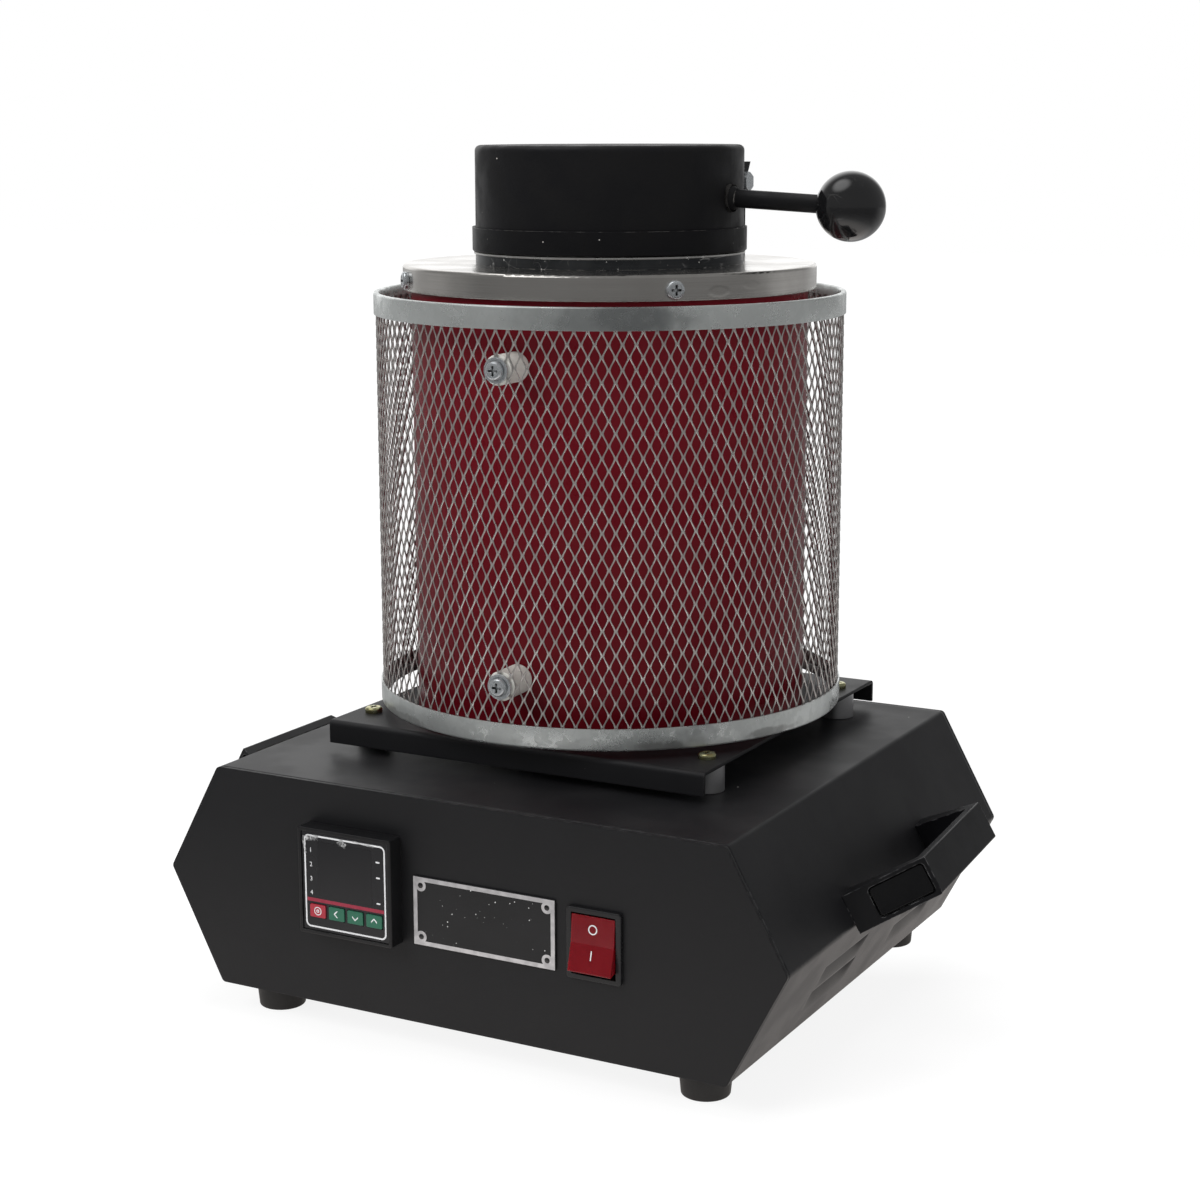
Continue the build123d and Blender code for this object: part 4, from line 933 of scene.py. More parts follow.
@dataclass
class Studio:
    """The camera, the white surroundings, the lamps and the floor."""

    camera_place: Triple = (0.500220, -0.918631, 0.394)
    azimuth: float = 0.496843
    elevation: float = 0.201931
    roll: float = -0.002644
    focal_pixels: float = 2319.873
    frame_pixels: float = 1200.0
    sensor: float = 36.0
    floor_size: float = 6.0
    floor_colour: Colour = (0.9, 0.9, 0.9)
    surrounding_light: float = 0.5
    bright_direction: Triple = (-0.56, 0.8, 0.2)
    bright_spread: tuple[float, float, float, float] = (0.66, 0.97, 0.0, 0.95)
    softbox_direction: Triple = (-0.35, -0.25, 0.9)
    softbox_spread: tuple[float, float, float, float] = (0.88, 0.985, 0.0, 1.6)
    mirrored_horizon: float = 0.24
    mirrored_zenith: float = 0.22
    mirrored_floor_near: float = 0.85
    mirrored_floor_far: tuple[float, float] = (0.14, 0.4)
    mirrored_floor_reach: tuple[float, float] = (0.24, 0.55)
    mirrored_floor_warmth: Colour = (1.0, 0.94, 0.9)
    seen_floor: float = 1.05
    lamps: tuple[Lamp, ...] = (
        Lamp("key_lamp", (-0.9, -1.5, 1.5), 1.1, 30.0),
        Lamp("fill_lamp", (1.9, -0.3, 0.9), 1.2, 9.0),
        Lamp("top_lamp", (0.0, 0.3, 2.2), 1.4, 24.0))
    lit_point: Triple = (0.0, 0.0, 0.2)

    def build(self) -> None:
        """Builds the whole studio."""
        bpy.context.scene.view_settings.view_transform = "Standard"
        self.camera()
        self.surroundings()
        self.floor()
        for lamp in self.lamps:
            lamp.hang(Vector(self.lit_point))

    def camera(self) -> None:
        """Places the camera from its fitted angles."""
        back = Vector((sin(self.azimuth) * cos(self.elevation), -cos(self.azimuth) * cos(self.elevation),
                       sin(self.elevation)))
        right = (-back).cross(Vector((0, 0, 1))).normalized()
        upward = right.cross(-back)
        turned_right = right * cos(self.roll) + upward * sin(self.roll)
        turned_up = upward * cos(self.roll) - right * sin(self.roll)
        data = bpy.data.cameras.new("camera")
        data.sensor_width = self.sensor
        data.lens = self.focal_pixels / self.frame_pixels * self.sensor
        data.clip_start = 0.05
        data.clip_end = 50.0
        camera = bpy.data.objects.new("camera", data)
        turn = Matrix((turned_right, turned_up, back)).transposed().to_4x4()
        camera.matrix_world = Matrix.Translation(self.camera_place) @ turn
        bpy.context.scene.collection.objects.link(camera)
        bpy.context.scene.camera = camera

    def surroundings(self) -> None:
        """A white backdrop all round, brightest behind the furnace, that lights it softly."""
        world = bpy.data.worlds.new("surroundings")
        bpy.context.scene.world = world
        world.use_nodes = True
        world.node_tree.nodes.clear()
        wiring = Wiring(world.node_tree)
        rays = wiring.add("ShaderNodeLightPath")
        seen = wiring.math("MAXIMUM", rays.outputs["Is Camera Ray"], rays.outputs["Is Transmission Ray"])
        looking = wiring.add("ShaderNodeTexCoord").outputs["Generated"]
        bright, overhead = [
            wiring.vector("DOT_PRODUCT", looking, tuple(Vector(direction).normalized()), 1)
            for direction in (self.bright_direction, self.softbox_direction)]
        behind = wiring.spread(bright, *self.bright_spread)
        softbox = wiring.spread(overhead, *self.softbox_spread)
        parts = wiring.add("ShaderNodeSeparateXYZ")
        wiring.feed(parts.inputs[0], looking)
        level = wiring.spread(parts.outputs[2], 0.0, 0.8, self.mirrored_horizon, self.mirrored_zenith)
        mirrored = wiring.math("ADD", wiring.math("ADD", level, behind), softbox)
        glossy = wiring.math("MULTIPLY", mirrored, rays.outputs["Is Glossy Ray"])
        others = wiring.math("SUBTRACT", 1.0, rays.outputs["Is Glossy Ray"])
        light = wiring.math("ADD", glossy, wiring.math("MULTIPLY", others, self.surrounding_light))
        strength = wiring.math("MAXIMUM", seen, light)
        background = wiring.add("ShaderNodeBackground")
        background.inputs["Color"].default_value = (*WHITE, 1.0)
        wiring.feed(background.inputs["Strength"], strength)
        output = wiring.add("ShaderNodeOutputWorld")
        wiring.feed(output.inputs["Surface"], background.outputs[0])

    def floor(self) -> None:
        """A plain white floor that keeps the furnace's shadow."""
        material = bpy.data.materials.new("studio_floor")
        material.use_nodes = True
        material.node_tree.nodes.clear()
        wiring = Wiring(material.node_tree)
        rays = wiring.add("ShaderNodeLightPath")
        place = wiring.add("ShaderNodeTexCoord").outputs["Object"]
        away = wiring.vector("LENGTH", place, output=1)
        direct = wiring.math("MAXIMUM", rays.outputs["Is Camera Ray"], rays.outputs["Is Transmission Ray"])
        seen = wiring.math("MAXIMUM", direct, rays.outputs["Is Glossy Ray"])
        towards_camera = (sin(self.azimuth), -cos(self.azimuth), 0.0)
        forwards = wiring.vector("DOT_PRODUCT", wiring.vector("NORMALIZE", place), towards_camera, 1)
        far = wiring.spread(forwards, 0.3, -0.4, *self.mirrored_floor_far)
        near = wiring.spread(away, *self.mirrored_floor_reach, 1.0, 0.0)
        mirrored = wiring.math("ADD", far, wiring.math("MULTIPLY", near, self.mirrored_floor_near))
        warm = wiring.math("MULTIPLY", near, rays.outputs["Is Glossy Ray"])
        matt = wiring.add("ShaderNodeBsdfDiffuse")
        matt.inputs["Color"].default_value = (*self.floor_colour, 1.0)
        bright = wiring.add("ShaderNodeEmission")
        wiring.feed(bright.inputs["Color"], wiring.mix(warm, WHITE, self.mirrored_floor_warmth))
        strength = wiring.math("MAXIMUM", mirrored, wiring.math("MULTIPLY", direct, self.seen_floor))
        wiring.feed(bright.inputs["Strength"], strength)
        both = wiring.add("ShaderNodeMixShader")
        shadowless = wiring.spread(away, 0.3, 1.0, 0.82, 1.0)
        wiring.feed(both.inputs[0], wiring.math("MULTIPLY", seen, shadowless))
        wiring.feed(both.inputs[1], matt.outputs[0])
        wiring.feed(both.inputs[2], bright.outputs[0])
        output = wiring.add("ShaderNodeOutputMaterial")
        wiring.feed(output.inputs["Surface"], both.outputs[0])
        shape = bmesh.new()
        bmesh.ops.create_grid(shape, x_segments=1, y_segments=1, size=self.floor_size)
        mesh = bpy.data.meshes.new("studio_floor")
        shape.to_mesh(mesh)
        shape.free()
        floor = bpy.data.objects.new("studio_floor", mesh)
        mesh.materials.append(material)
        bpy.context.scene.collection.objects.link(floor)


# --- The furnace's own finishes ---


AXIS = ((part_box("furnace_barrel")[0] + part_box("furnace_barrel")[1]) / 2).xy

# Painted edge highlight: the lighter colour along the casing's edges. Painted shade: its slots, louvres and
# inner corners darkened.
POWDER_COAT = Coating(
    "powder_coat_black", (0.0078, 0.0078, 0.0088), roughness=0.47, specular=0.26,
    second=(0.0105, 0.0105, 0.0115), uneven_sheen=0.03, grain_scale=1400.0, grain_depth=0.00003,
    edge_radius=0.0008, wear=(0.09, 0.09, 0.09), wear_amount=0.2, speck=DUST, speck_scale=95.0,
    speck_size=0.045, dust=0.02, grime=0.85, grime_reach=0.007)
LID_PAINT = Coating(
    "lid_paint_black", (0.0052, 0.0052, 0.0062), roughness=0.5, specular=0.22, second=(0.0085, 0.0082, 0.008),
    cloud_scale=70.0, grain_scale=900.0, grain_depth=0.00004, wear=(0.42, 0.4, 0.37), wear_amount=0.5,
    speck=(0.5, 0.48, 0.44), speck_scale=110.0, speck_size=0.05, dust=0.05)
FLANGE_PAINT = Coating(
    "flange_paint_chipped", (0.0048, 0.0048, 0.0058), roughness=0.46, specular=0.2,
    second=(0.008, 0.0078, 0.0075), cloud_scale=70.0, grain_scale=900.0, grain_depth=0.00004,
    wear=(0.35, 0.34, 0.32), wear_amount=0.22, speck=(0.6, 0.58, 0.55), speck_scale=210.0, speck_size=0.09,
    dust=0.04, edge_radius=0.0005)
# Painted shade: the red is darker low on the barrel and turns lighter from 0.15 m to 0.28 m up.
BARREL_ENAMEL = Coating(
    "barrel_enamel_red", (0.095, 0.0024, 0.0068), roughness=0.34, specular=0.16, second=(0.12, 0.003, 0.0075),
    cloud_scale=40.0, cloud_amount=0.8, grain_scale=600.0, grain_depth=0.00002, speck=(0.4, 0.3, 0.28),
    speck_scale=120.0, speck_size=0.035, dust=0.1, fade=Fade((0.125, 0.003, 0.0085), 0.15, 0.28))
# Painted edge highlight: the lighter grey along the edges.
MOULDED_BLACK = Coating(
    "moulded_black", (0.0068, 0.0068, 0.0075), roughness=0.4, specular=0.3, second=(0.011, 0.011, 0.0115),
    grain_scale=1100.0, grain_depth=0.00004, wear=(0.12, 0.12, 0.12), wear_amount=0.3, edge_radius=0.0007,
    speck=DUST, speck_scale=110.0, speck_size=0.035)
# Painted edge highlight: the lighter grey along the handles' edges.
HANDLE_BLACK = Coating(
    "handle_moulded_black", (0.0042, 0.0042, 0.005), roughness=0.36, specular=0.22,
    second=(0.007, 0.007, 0.0078), grain_scale=1300.0, grain_depth=0.00002, wear=(0.22, 0.22, 0.225),
    wear_amount=0.55, edge_radius=0.0006, speck=DUST, speck_scale=110.0, speck_size=0.03)
# Painted edge highlight: the lighter grey round the handle caps' edges.
CAP_GLOSS = Coating(
    "cap_gloss_black", (0.003, 0.003, 0.0034), roughness=0.16, specular=0.3, second=(0.0045, 0.0045, 0.005),
    grain_scale=1300.0, grain_depth=0.000004, wear=(0.3, 0.3, 0.31), wear_amount=0.4, edge_radius=0.0003,
    speck=DUST, speck_scale=150.0, speck_size=0.03)
KNOB_GLOSS = Coating(
    "knob_gloss_black", (0.006, 0.006, 0.0065), roughness=0.12, specular=0.5, grain_depth=0.000002,
    uneven_sheen=0.04, coat=0.5, coat_roughness=0.04, speck=DUST, speck_scale=170.0, speck_size=0.03,
    scratch=(0.05, 0.05, 0.05))
BEZEL_BLACK = Coating(
    "controller_bezel", (0.0068, 0.0068, 0.0075), roughness=0.38, specular=0.3, second=(0.01, 0.01, 0.0105),
    grain_scale=1600.0, grain_depth=0.00002, wear=(0.09, 0.09, 0.09), wear_amount=0.4, speck=DUST,
    speck_scale=150.0, speck_size=0.035)
FACE_BLACK = Coating(
    "controller_face_black", (0.008, 0.008, 0.0095), roughness=0.26, specular=0.35, grain_scale=1800.0,
    grain_depth=0.000006, second=(0.0105, 0.0105, 0.012), speck=DUST, speck_scale=240.0, speck_size=0.03)
WINDOW = Coating(
    "display_window", (0.004, 0.004, 0.0052), roughness=0.12, specular=0.28, grain_depth=0.000002,
    coat=0.2, coat_roughness=0.03, speck=DUST, speck_scale=260.0, speck_size=0.03)
SWITCH_BLACK = Coating(
    "switch_frame_black", (0.0085, 0.0085, 0.0095), roughness=0.3, specular=0.35, grain_depth=0.000008,
    second=(0.012, 0.012, 0.0125), wear=(0.1, 0.1, 0.1), wear_amount=0.3, speck=DUST, speck_scale=170.0,
    speck_size=0.035)
ROCKER_RED = Coating(
    "rocker_clear_red", (0.125, 0.002, 0.0052), roughness=0.16, specular=0.3, second=(0.18, 0.003, 0.007),
    cloud_scale=120.0, grain_depth=0.000003, coat=0.15, coat_roughness=0.05, glow=0.25, edge_radius=0.0005)
KEY_RED = Coating(
    "key_rubber_red", (0.3, 0.014, 0.03), roughness=0.45, second=(0.36, 0.02, 0.035), grain_scale=2200.0,
    grain_depth=0.00001)
KEY_GREEN = Coating(
    "key_rubber_green", (0.012, 0.105, 0.06), roughness=0.45, second=(0.015, 0.13, 0.075), grain_scale=2200.0,
    grain_depth=0.00001)
PRINT_WHITE = Coating(
    "print_white", (0.66, 0.66, 0.67), roughness=0.5, second=(0.55, 0.55, 0.56), cloud_scale=500.0,
    grain_scale=3000.0, grain_depth=0.000004, edge_radius=0.00003)
PRINT_RED = Coating(
    "print_red", (0.26, 0.012, 0.035), roughness=0.45, second=(0.2, 0.01, 0.028), cloud_scale=500.0,
    grain_scale=3000.0, grain_depth=0.000004, edge_radius=0.00003)
PLATE_BLACK = Coating(
    "nameplate_black", (0.0095, 0.0095, 0.0105), roughness=0.42, specular=0.3, second=(0.014, 0.014, 0.014),
    grain_scale=2000.0, grain_depth=0.00001, speck=(0.6, 0.6, 0.59), speck_scale=420.0, speck_size=0.15,
    edge_radius=0.0002)
PLATE_SILVER = Metal(
    "nameplate_silver", (0.66, 0.66, 0.68), roughness=0.42, second=(0.56, 0.56, 0.58), cloud_scale=300.0,
    edge_radius=0.00005, grain_scale=2600.0)
RUBBER = Coating(
    "rubber_black", (0.018, 0.0172, 0.017), roughness=0.62, specular=0.3, second=(0.045, 0.043, 0.04),
    grain_scale=1300.0, grain_depth=0.00004, edge_radius=0.0008, speck=DUST, speck_scale=200.0,
    speck_size=0.07, wear=(0.14, 0.135, 0.13), wear_amount=0.5)
# Painted highlight: the near-white colour along the bands' folded edges.
GALVANISED = DullMetal(
    "galvanised_band", (0.66, 0.685, 0.675), roughness=0.32, second=(0.6, 0.625, 0.615), marks=Marks.SPANGLE,
    marks_scale=260.0, grain_scale=800.0, grain_depth=0.00001, edge_radius=0.0003, wear=(0.85, 0.85, 0.85),
    wear_amount=0.6,
    patches=(
        # The first three patches darken the front of the top band: partly painted dark reflection, partly
        # mottled oxide; the other four are stains.
        Patch((0.046, -0.079, 0.3155), (0.05, 0.05, 0.016), (0.14, 0.15, 0.155), 0.3, 0.32, 0.5),
        Patch((0.052, -0.075, 0.3155), (0.034, 0.034, 0.012), (0.09, 0.095, 0.1), 0.35, 0.32, 0.6),
        Patch((0.056, -0.072, 0.3165), (0.018, 0.018, 0.009), (0.06, 0.065, 0.07), 0.35, 0.32, 0.7),
        Patch((0.0676, -0.0638, 0.1335), (0.014, 0.014, 0.0035), (0.14, 0.135, 0.13), 0.5, 0.5, 1.2),
        Patch((0.0791, -0.0524, 0.1385), (0.011, 0.011, 0.006), (0.2, 0.21, 0.22), 0.4, 0.4, 0.9),
        Patch((0.0979, -0.0212, 0.1345), (0.012, 0.02, 0.0025), (0.18, 0.175, 0.17), 0.45, 0.5, 1.2),
        Patch((-0.06, -0.07, 0.1335), (0.03, 0.03, 0.003), (0.25, 0.25, 0.24), 0.5, 0.6, 1.8)))
CAGE_WIRE = DullMetal(
    "expanded_metal", (0.6, 0.575, 0.555), roughness=0.32, second=(0.36, 0.345, 0.33), cloud_scale=120.0,
    cloud_amount=0.7, grain_scale=1500.0, grain_depth=0.00001, edge_radius=0.00015)
# Painted highlight: the near-white colour along the cap's edges.
CAP_STEEL = Metal(
    "cap_polished", (0.72, 0.7, 0.67), roughness=0.2, second=(0.55, 0.53, 0.5), marks=Marks.TURNED,
    marks_scale=2600.0, axis=tuple(AXIS), grain_depth=0.000003, edge_radius=0.0004, wear=(0.9, 0.9, 0.88),
    wear_amount=0.5, uneven_sheen=0.05,
    patches=(
        Patch((0.0772, -0.0325, 0.3255), (0.0045, 0.007, 0.0025), (0.6, 0.58, 0.55), 0.4, 0.28, 0.5, -60.0),
        Patch((0.0845, -0.0165, 0.3275), (0.0035, 0.006, 0.002), (0.6, 0.58, 0.55), 0.4, 0.28, 0.5, -50.0)))
COLLAR_STEEL = Metal(
    "collar_scaled", (0.055, 0.058, 0.062), roughness=0.34, second=(0.13, 0.135, 0.14), marks=Marks.TURNED,
    marks_scale=1500.0, axis=tuple(AXIS), grain_scale=500.0, grain_depth=0.00004, edge_radius=0.0003,
    wear=(0.75, 0.74, 0.72), wear_amount=0.9, scratch=(0.5, 0.49, 0.48), scratch_scale=160.0,
    scratch_width=0.012, speck=(0.6, 0.59, 0.57), speck_scale=420.0, speck_size=0.2,
    fade=Fade((0.8, 0.79, 0.77), 0.3372, 0.3377))
# Painted highlight: the near-white colour along the screws' edges. Painted shade: their recesses darkened.
ZINC = DullMetal(
    "zinc_bright", (0.62, 0.65, 0.67), roughness=0.22, second=(0.48, 0.5, 0.52), cloud_scale=260.0,
    grain_scale=1500.0, edge_radius=0.0003, wear=(0.85, 0.86, 0.88), grime=0.95)
# Painted shade: the screws' recesses darkened.
YELLOW_ZINC = Metal(
    "zinc_yellow", (0.58, 0.52, 0.24), roughness=0.24, second=(0.45, 0.48, 0.32), cloud_scale=320.0,
    cloud_amount=0.9, grain_scale=1500.0, edge_radius=0.0003, grime=0.9)
SPACER_SATIN = Metal(
    "spacer_satin", (0.62, 0.62, 0.63), roughness=0.4, second=(0.52, 0.52, 0.53), cloud_scale=90.0,
    grain_scale=1500.0, edge_radius=0.0003)
STEEL_PLATE = Metal(
    "steel_plate", (0.42, 0.43, 0.44), roughness=0.36, second=(0.32, 0.33, 0.34), marks=Marks.SPANGLE,
    marks_scale=110.0, grain_scale=1000.0, scratch=(0.25, 0.25, 0.25))
ALUMINIUM = Metal(
    "aluminium_bare", (0.7, 0.7, 0.71), roughness=0.34, second=(0.55, 0.55, 0.56), grain_scale=1200.0,
    cloud_scale=80.0)
CERAMIC_WHITE = Mineral(
    "ceramic_white", (0.68, 0.67, 0.63), roughness=0.6, second=(0.56, 0.54, 0.49), cloud_scale=90.0,
    grain_scale=1200.0, grain_depth=0.00003, pit_scale=600.0, pit_colour=(0.4, 0.37, 0.32),
    edge_radius=0.0005)
CORE_CLAY = Mineral(
    "core_clay", (0.55, 0.47, 0.36), second=(0.4, 0.32, 0.23), cloud_scale=35.0, cloud_amount=0.8)
FIBRE = Mineral(
    "fibre_board", (0.7, 0.67, 0.6), second=(0.52, 0.46, 0.37), cloud_scale=45.0, grain_scale=420.0,
    grain_depth=0.0005, pit_scale=220.0, pit_colour=(0.38, 0.33, 0.27), cloud_amount=0.7)
LID_FIBRE = Mineral(
    "lid_fibre_scorched", (0.5, 0.47, 0.41), second=(0.38, 0.34, 0.28), cloud_scale=45.0, grain_scale=420.0,
    grain_depth=0.0005, pit_scale=220.0, pit_colour=(0.3, 0.26, 0.2), cloud_amount=0.7, patches=(
        Patch((-0.002, 0.0177, 0.337), (0.036, 0.036, 0.03), (0.3, 0.26, 0.2), 0.55, 0.9, 0.8),
        Patch((-0.002, 0.0177, 0.337), (0.022, 0.022, 0.03), (0.16, 0.14, 0.115), 0.45, 0.9, 0.9)))
GRAPHITE = Mineral(
    "graphite", (0.045, 0.045, 0.048), roughness=0.5, specular=0.5, second=(0.085, 0.084, 0.083),
    grain_scale=900.0, grain_depth=0.00004, pit_scale=500.0, pit_colour=(0.012, 0.012, 0.012),
    wear=(0.16, 0.16, 0.165), wear_amount=0.5, edge_radius=0.001)
COIL_WIRE = Metal(
    "resistance_wire", (0.2, 0.18, 0.165), roughness=0.55, second=(0.1, 0.09, 0.085), cloud_scale=150.0,
    cloud_amount=0.9, grain_scale=2000.0, grain_depth=0.00002)
BOARD_GREEN = Circuitry(
    "board_green", (0.015, 0.12, 0.045), roughness=0.35, second=(0.012, 0.09, 0.035), coat=0.3)
MODULE_IVORY = Coating(
    "module_ivory", (0.52, 0.5, 0.45), roughness=0.35, second=(0.46, 0.44, 0.39), grain_scale=1500.0,
    grain_depth=0.00002)
RIVET_BLACK = Metal(
    "rivet_black", (0.05, 0.05, 0.052), roughness=0.35, second=(0.09, 0.09, 0.09), cloud_scale=300.0,
    edge_radius=0.0001)
CLEAR_FILM = Film("clear_film", (0.6, 0.6, 0.6), roughness=0.2, grain_depth=0.00002)
WELD = Coating(
    "weld_bead", (0.016, 0.015, 0.0145), roughness=0.45, specular=0.35, second=(0.03, 0.028, 0.026),
    cloud_scale=200.0, grain_scale=700.0, grain_depth=0.0001, speck=(0.4, 0.38, 0.35), speck_scale=250.0,
    speck_size=0.06)


# --- Sub-assemblies ---


@dataclass
class GuardCage:
    """The expanded-metal cage round the barrel, with a folded band at its top and bottom."""

    columns: int = 116
    rows: int = 17
    hole_height: float = 10.5 * MM
    half_strand: float = 0.25 * MM
    sheet: float = 0.4 * MM
    lean: float = 0.25 * MM
    side_across: float = 2.14 * MM
    shoulder_across: float = 1.74 * MM
    shoulder_up: float = 1.42 * MM
    band_wall: float = 0.8 * MM

    # The folded edge's section, in millimetres inwards from the band's face and away from its edge.
    fold: tuple[tuple[float, float], ...] = (
        (0.0, 1.0), (0.08, 0.6), (0.3, 0.28), (0.6, 0.08), (1.0, 0.0), (1.9, 0.02), (2.3, 0.25), (2.5, 0.8),
        (2.5, 4.5), (1.9, 4.5), (1.85, 1.2), (0.9, 1.0))

    def __post_init__(self) -> None:
        """Reads the cage's place from the frame."""
        low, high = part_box("guard_mesh")
        self.centre = (low + high) / 2
        self.radius = (high.x - low.x) / 2 - self.sheet

    def build(self) -> None:
        """Builds the mesh and both bands, and dresses what holds them."""
        self.mesh()
        self.band("guard_band_top", 1)
        self.band("guard_band_bottom", -1)
        dress(CERAMIC_WHITE, "guard_standoffs")
        dress(ZINC, "guard_screws")

    def hole(self) -> bmesh.types.BMesh:
        """Makes one hole's strands, bent to the cage's radius.

        Returns:
            The strands round one hole, at the front of the cage and at height 0.
        """
        tile = bmesh.new()
        half_width = pi * self.radius / self.columns
        made = bmesh.ops.create_circle(tile, cap_ends=True, segments=4, radius=1.0)["verts"]
        bmesh.ops.scale(tile, vec=(half_width, self.hole_height / 2, 1.0), verts=made)
        bmesh.ops.subdivide_edges(tile, edges=list(tile.edges), cuts=1)
        inner = list(tile.faces)
        bmesh.ops.inset_region(tile, faces=inner, thickness=self.half_strand,
                               use_boundary=True, use_even_offset=True)
        rim = list(inner[0].verts)
        for point in rim:
            across, up = (1 if point.co.x > 0 else -1), (1 if point.co.y > 0 else -1)
            if abs(point.co.y) < 0.1 * half_width:
                point.co.x = across * self.side_across
            elif abs(point.co.x) > 0.1 * half_width:
                point.co.xy = across * self.shoulder_across, up * self.shoulder_up
        bmesh.ops.delete(tile, geom=inner, context="FACES_ONLY")
        for point in tile.verts:
            out = self.radius
            if point in rim:
                out -= self.lean * 2 * point.co.y / self.hole_height
            turn = point.co.x / self.radius
            point.co = (self.centre.x + out * sin(turn), self.centre.y - out * cos(turn), point.co.y)
        return tile

    def mesh(self) -> None:
        """Repeats the hole round and up the cage."""
        shape = self.hole()
        step = 2 * pi / self.columns
        bmesh.ops.spin(shape, geom=shape.verts[:] + shape.edges[:] + shape.faces[:], cent=self.centre,
                       axis=(0, 0, 1), dvec=(0, 0, 0), angle=step * (self.columns - 1),
                       steps=self.columns - 1, use_duplicate=True)
        first = shape.verts[:] + shape.edges[:] + shape.faces[:]
        lowest = self.centre.z - self.hole_height * (self.rows - 1) / 2
        half_turn = Matrix.Rotation(step / 2, 3, "Z")
        for row in range(2 * self.rows - 1):
            if row:
                made = bmesh.ops.duplicate(shape, geom=first)["geom"]
                points = [part for part in made if isinstance(part, bmesh.types.BMVert)]
                bmesh.ops.translate(shape, vec=(0, 0, self.hole_height * row / 2), verts=points)
                if row % 2:
                    bmesh.ops.rotate(shape, cent=self.centre, matrix=half_turn, verts=points)
        bmesh.ops.translate(shape, vec=(0, 0, lowest), verts=shape.verts)
        bmesh.ops.remove_doubles(shape, verts=shape.verts, dist=0.01 * MM)
        piece = as_piece(shape, "cage_mesh", "base", CAGE_WIRE, ("guard_mesh",), sharp=60.0)
        wall = piece.modifiers.new("wall", "SOLIDIFY")
        wall.thickness = self.sheet
        wall.offset = 0.0

    def band(self, node: str, way: int) -> None:
        """Builds a band whose outer edge is folded over inwards.

        Args:
            node: The band's node.
            way: 1 for a fold at the top, -1 for one at the bottom.
        """
        low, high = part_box(node)
        outer = (high.x - low.x) / 2
        edge, far = (high.z, low.z) if way > 0 else (low.z, high.z)
        folded = [(outer - inwards * MM, edge - away * MM * way) for inwards, away in self.fold]
        profile = [(outer, far)] + folded + [(outer - self.band_wall, far)]
        shape = turned(profile, self.centre, steps=160)
        as_piece(shape, node + "_folded", "base", GALVANISED, (node,))


@dataclass
class Furnace:
    """The barrel, its cap and collar, and everything inside it."""

    wire_radius: float = 1.3 * MM
    wire_sides: int = 10
    coil_turns: int = 10
    steps_each_turn: int = 48

    def build(self) -> None:
        """Dresses the furnace and winds its heating coil."""
        dress(BARREL_ENAMEL, "furnace_barrel", "barrel_base")
        dress(CAP_STEEL, "top_cap")
        dress(COLLAR_STEEL, "mouth_collar")
        dress(ZINC, "cap_screws", "barrel_bolts")
        dress(FIBRE, "floor_insulation", "side_insulation", "top_insulation")
        dress(CORE_CLAY, "heater_core", "crucible_pedestal")
        dress(GRAPHITE, "crucible")
        dress(CERAMIC_WHITE, "thermocouple", "lead_tubes")
        dress(COIL_WIRE, "heater_leads")
        self.coil()

    def coil(self) -> None:
        """Winds the heating coil as one helix."""
        low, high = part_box("heating_coil")
        centre = (low + high) / 2
        wire = self.wire_radius
        pitch = (high.z - low.z - 2 * wire) / (self.coil_turns - 1)
        mean = (high.x - low.x) / 2 - wire
        shape = bmesh.new()
        made = bmesh.ops.create_circle(shape, cap_ends=False, segments=self.wire_sides, radius=wire)
        section = made["verts"]
        upright = Matrix.Rotation(radians(90), 4, "X")
        start = Matrix.Translation((centre.x + mean, centre.y, low.z + wire))
        bmesh.ops.transform(shape, matrix=start @ upright, verts=section)
        wound = self.coil_turns - 1
        bmesh.ops.spin(shape, geom=shape.verts[:] + shape.edges[:], cent=centre, axis=(0, 0, 1),
                       dvec=(0, 0, pitch / self.steps_each_turn), angle=2 * pi * wound,
                       steps=wound * self.steps_each_turn)
        ends = [edge for edge in shape.edges if edge.is_boundary]
        bmesh.ops.holes_fill(shape, edges=ends, sides=0)
        as_piece(shape, "coil_helix", "base", COIL_WIRE, ("heating_coil",), sharp=60.0)


@dataclass
class LidAssembly:
    """The lid with its rod, knob and hinge."""

    rod_root_height: float = 362.4 * MM
    bead_radius: float = 1.3 * MM
    bead_lump: float = 1.3 * MM
    bead_ripple: float = 260.0

    def build(self) -> None:
        """Dresses the lid and adds the weld beads."""
        dress(LID_PAINT, "lid_shell", "lid_handle_rod", "lid_hinge_arm", "hinge_bracket")
        dress(FLANGE_PAINT, "lid_flange")
        dress(KNOB_GLOSS, "ball_knob")
        dress(LID_FIBRE, "lid_insulation")
        dress(ZINC, "hinge_bolt")
        self.weld()

    def weld(self) -> None:
        """Lays a lumpy bead where the rod meets the shell."""
        low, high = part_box("lid_handle_rod")
        rod_radius = (high.y - low.y) / 2
        root = Vector((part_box("lid_shell")[1].x, (low.y + high.y) / 2, self.rod_root_height))
        shape = bmesh.new()
        made = bmesh.ops.create_circle(shape, cap_ends=False, segments=10, radius=self.bead_radius)
        bmesh.ops.translate(shape, vec=root + Vector((0.0, 0.0, rod_radius)), verts=made["verts"])
        bmesh.ops.spin(shape, geom=shape.verts[:] + shape.edges[:], cent=root, axis=(1, 0, 0), dvec=(0, 0, 0),
                       angle=2 * pi, steps=40, use_merge=True)
        bmesh.ops.remove_doubles(shape, verts=shape.verts, dist=1e-7)
        bmesh.ops.recalc_face_normals(shape, faces=shape.faces)
        shape.normal_update()
        for point in shape.verts:
            lump = noise.noise(point.co * self.bead_ripple) * self.bead_lump
            point.co += point.normal * lump
        as_piece(shape, "rod_weld", "lid", WELD, sharp=80.0)


@dataclass(frozen=True)
class Row:
    """A line of the folded sheet, which runs from front to rear."""

    place: Vector
    outwards: Vector
    lifts: tuple[float, ...]


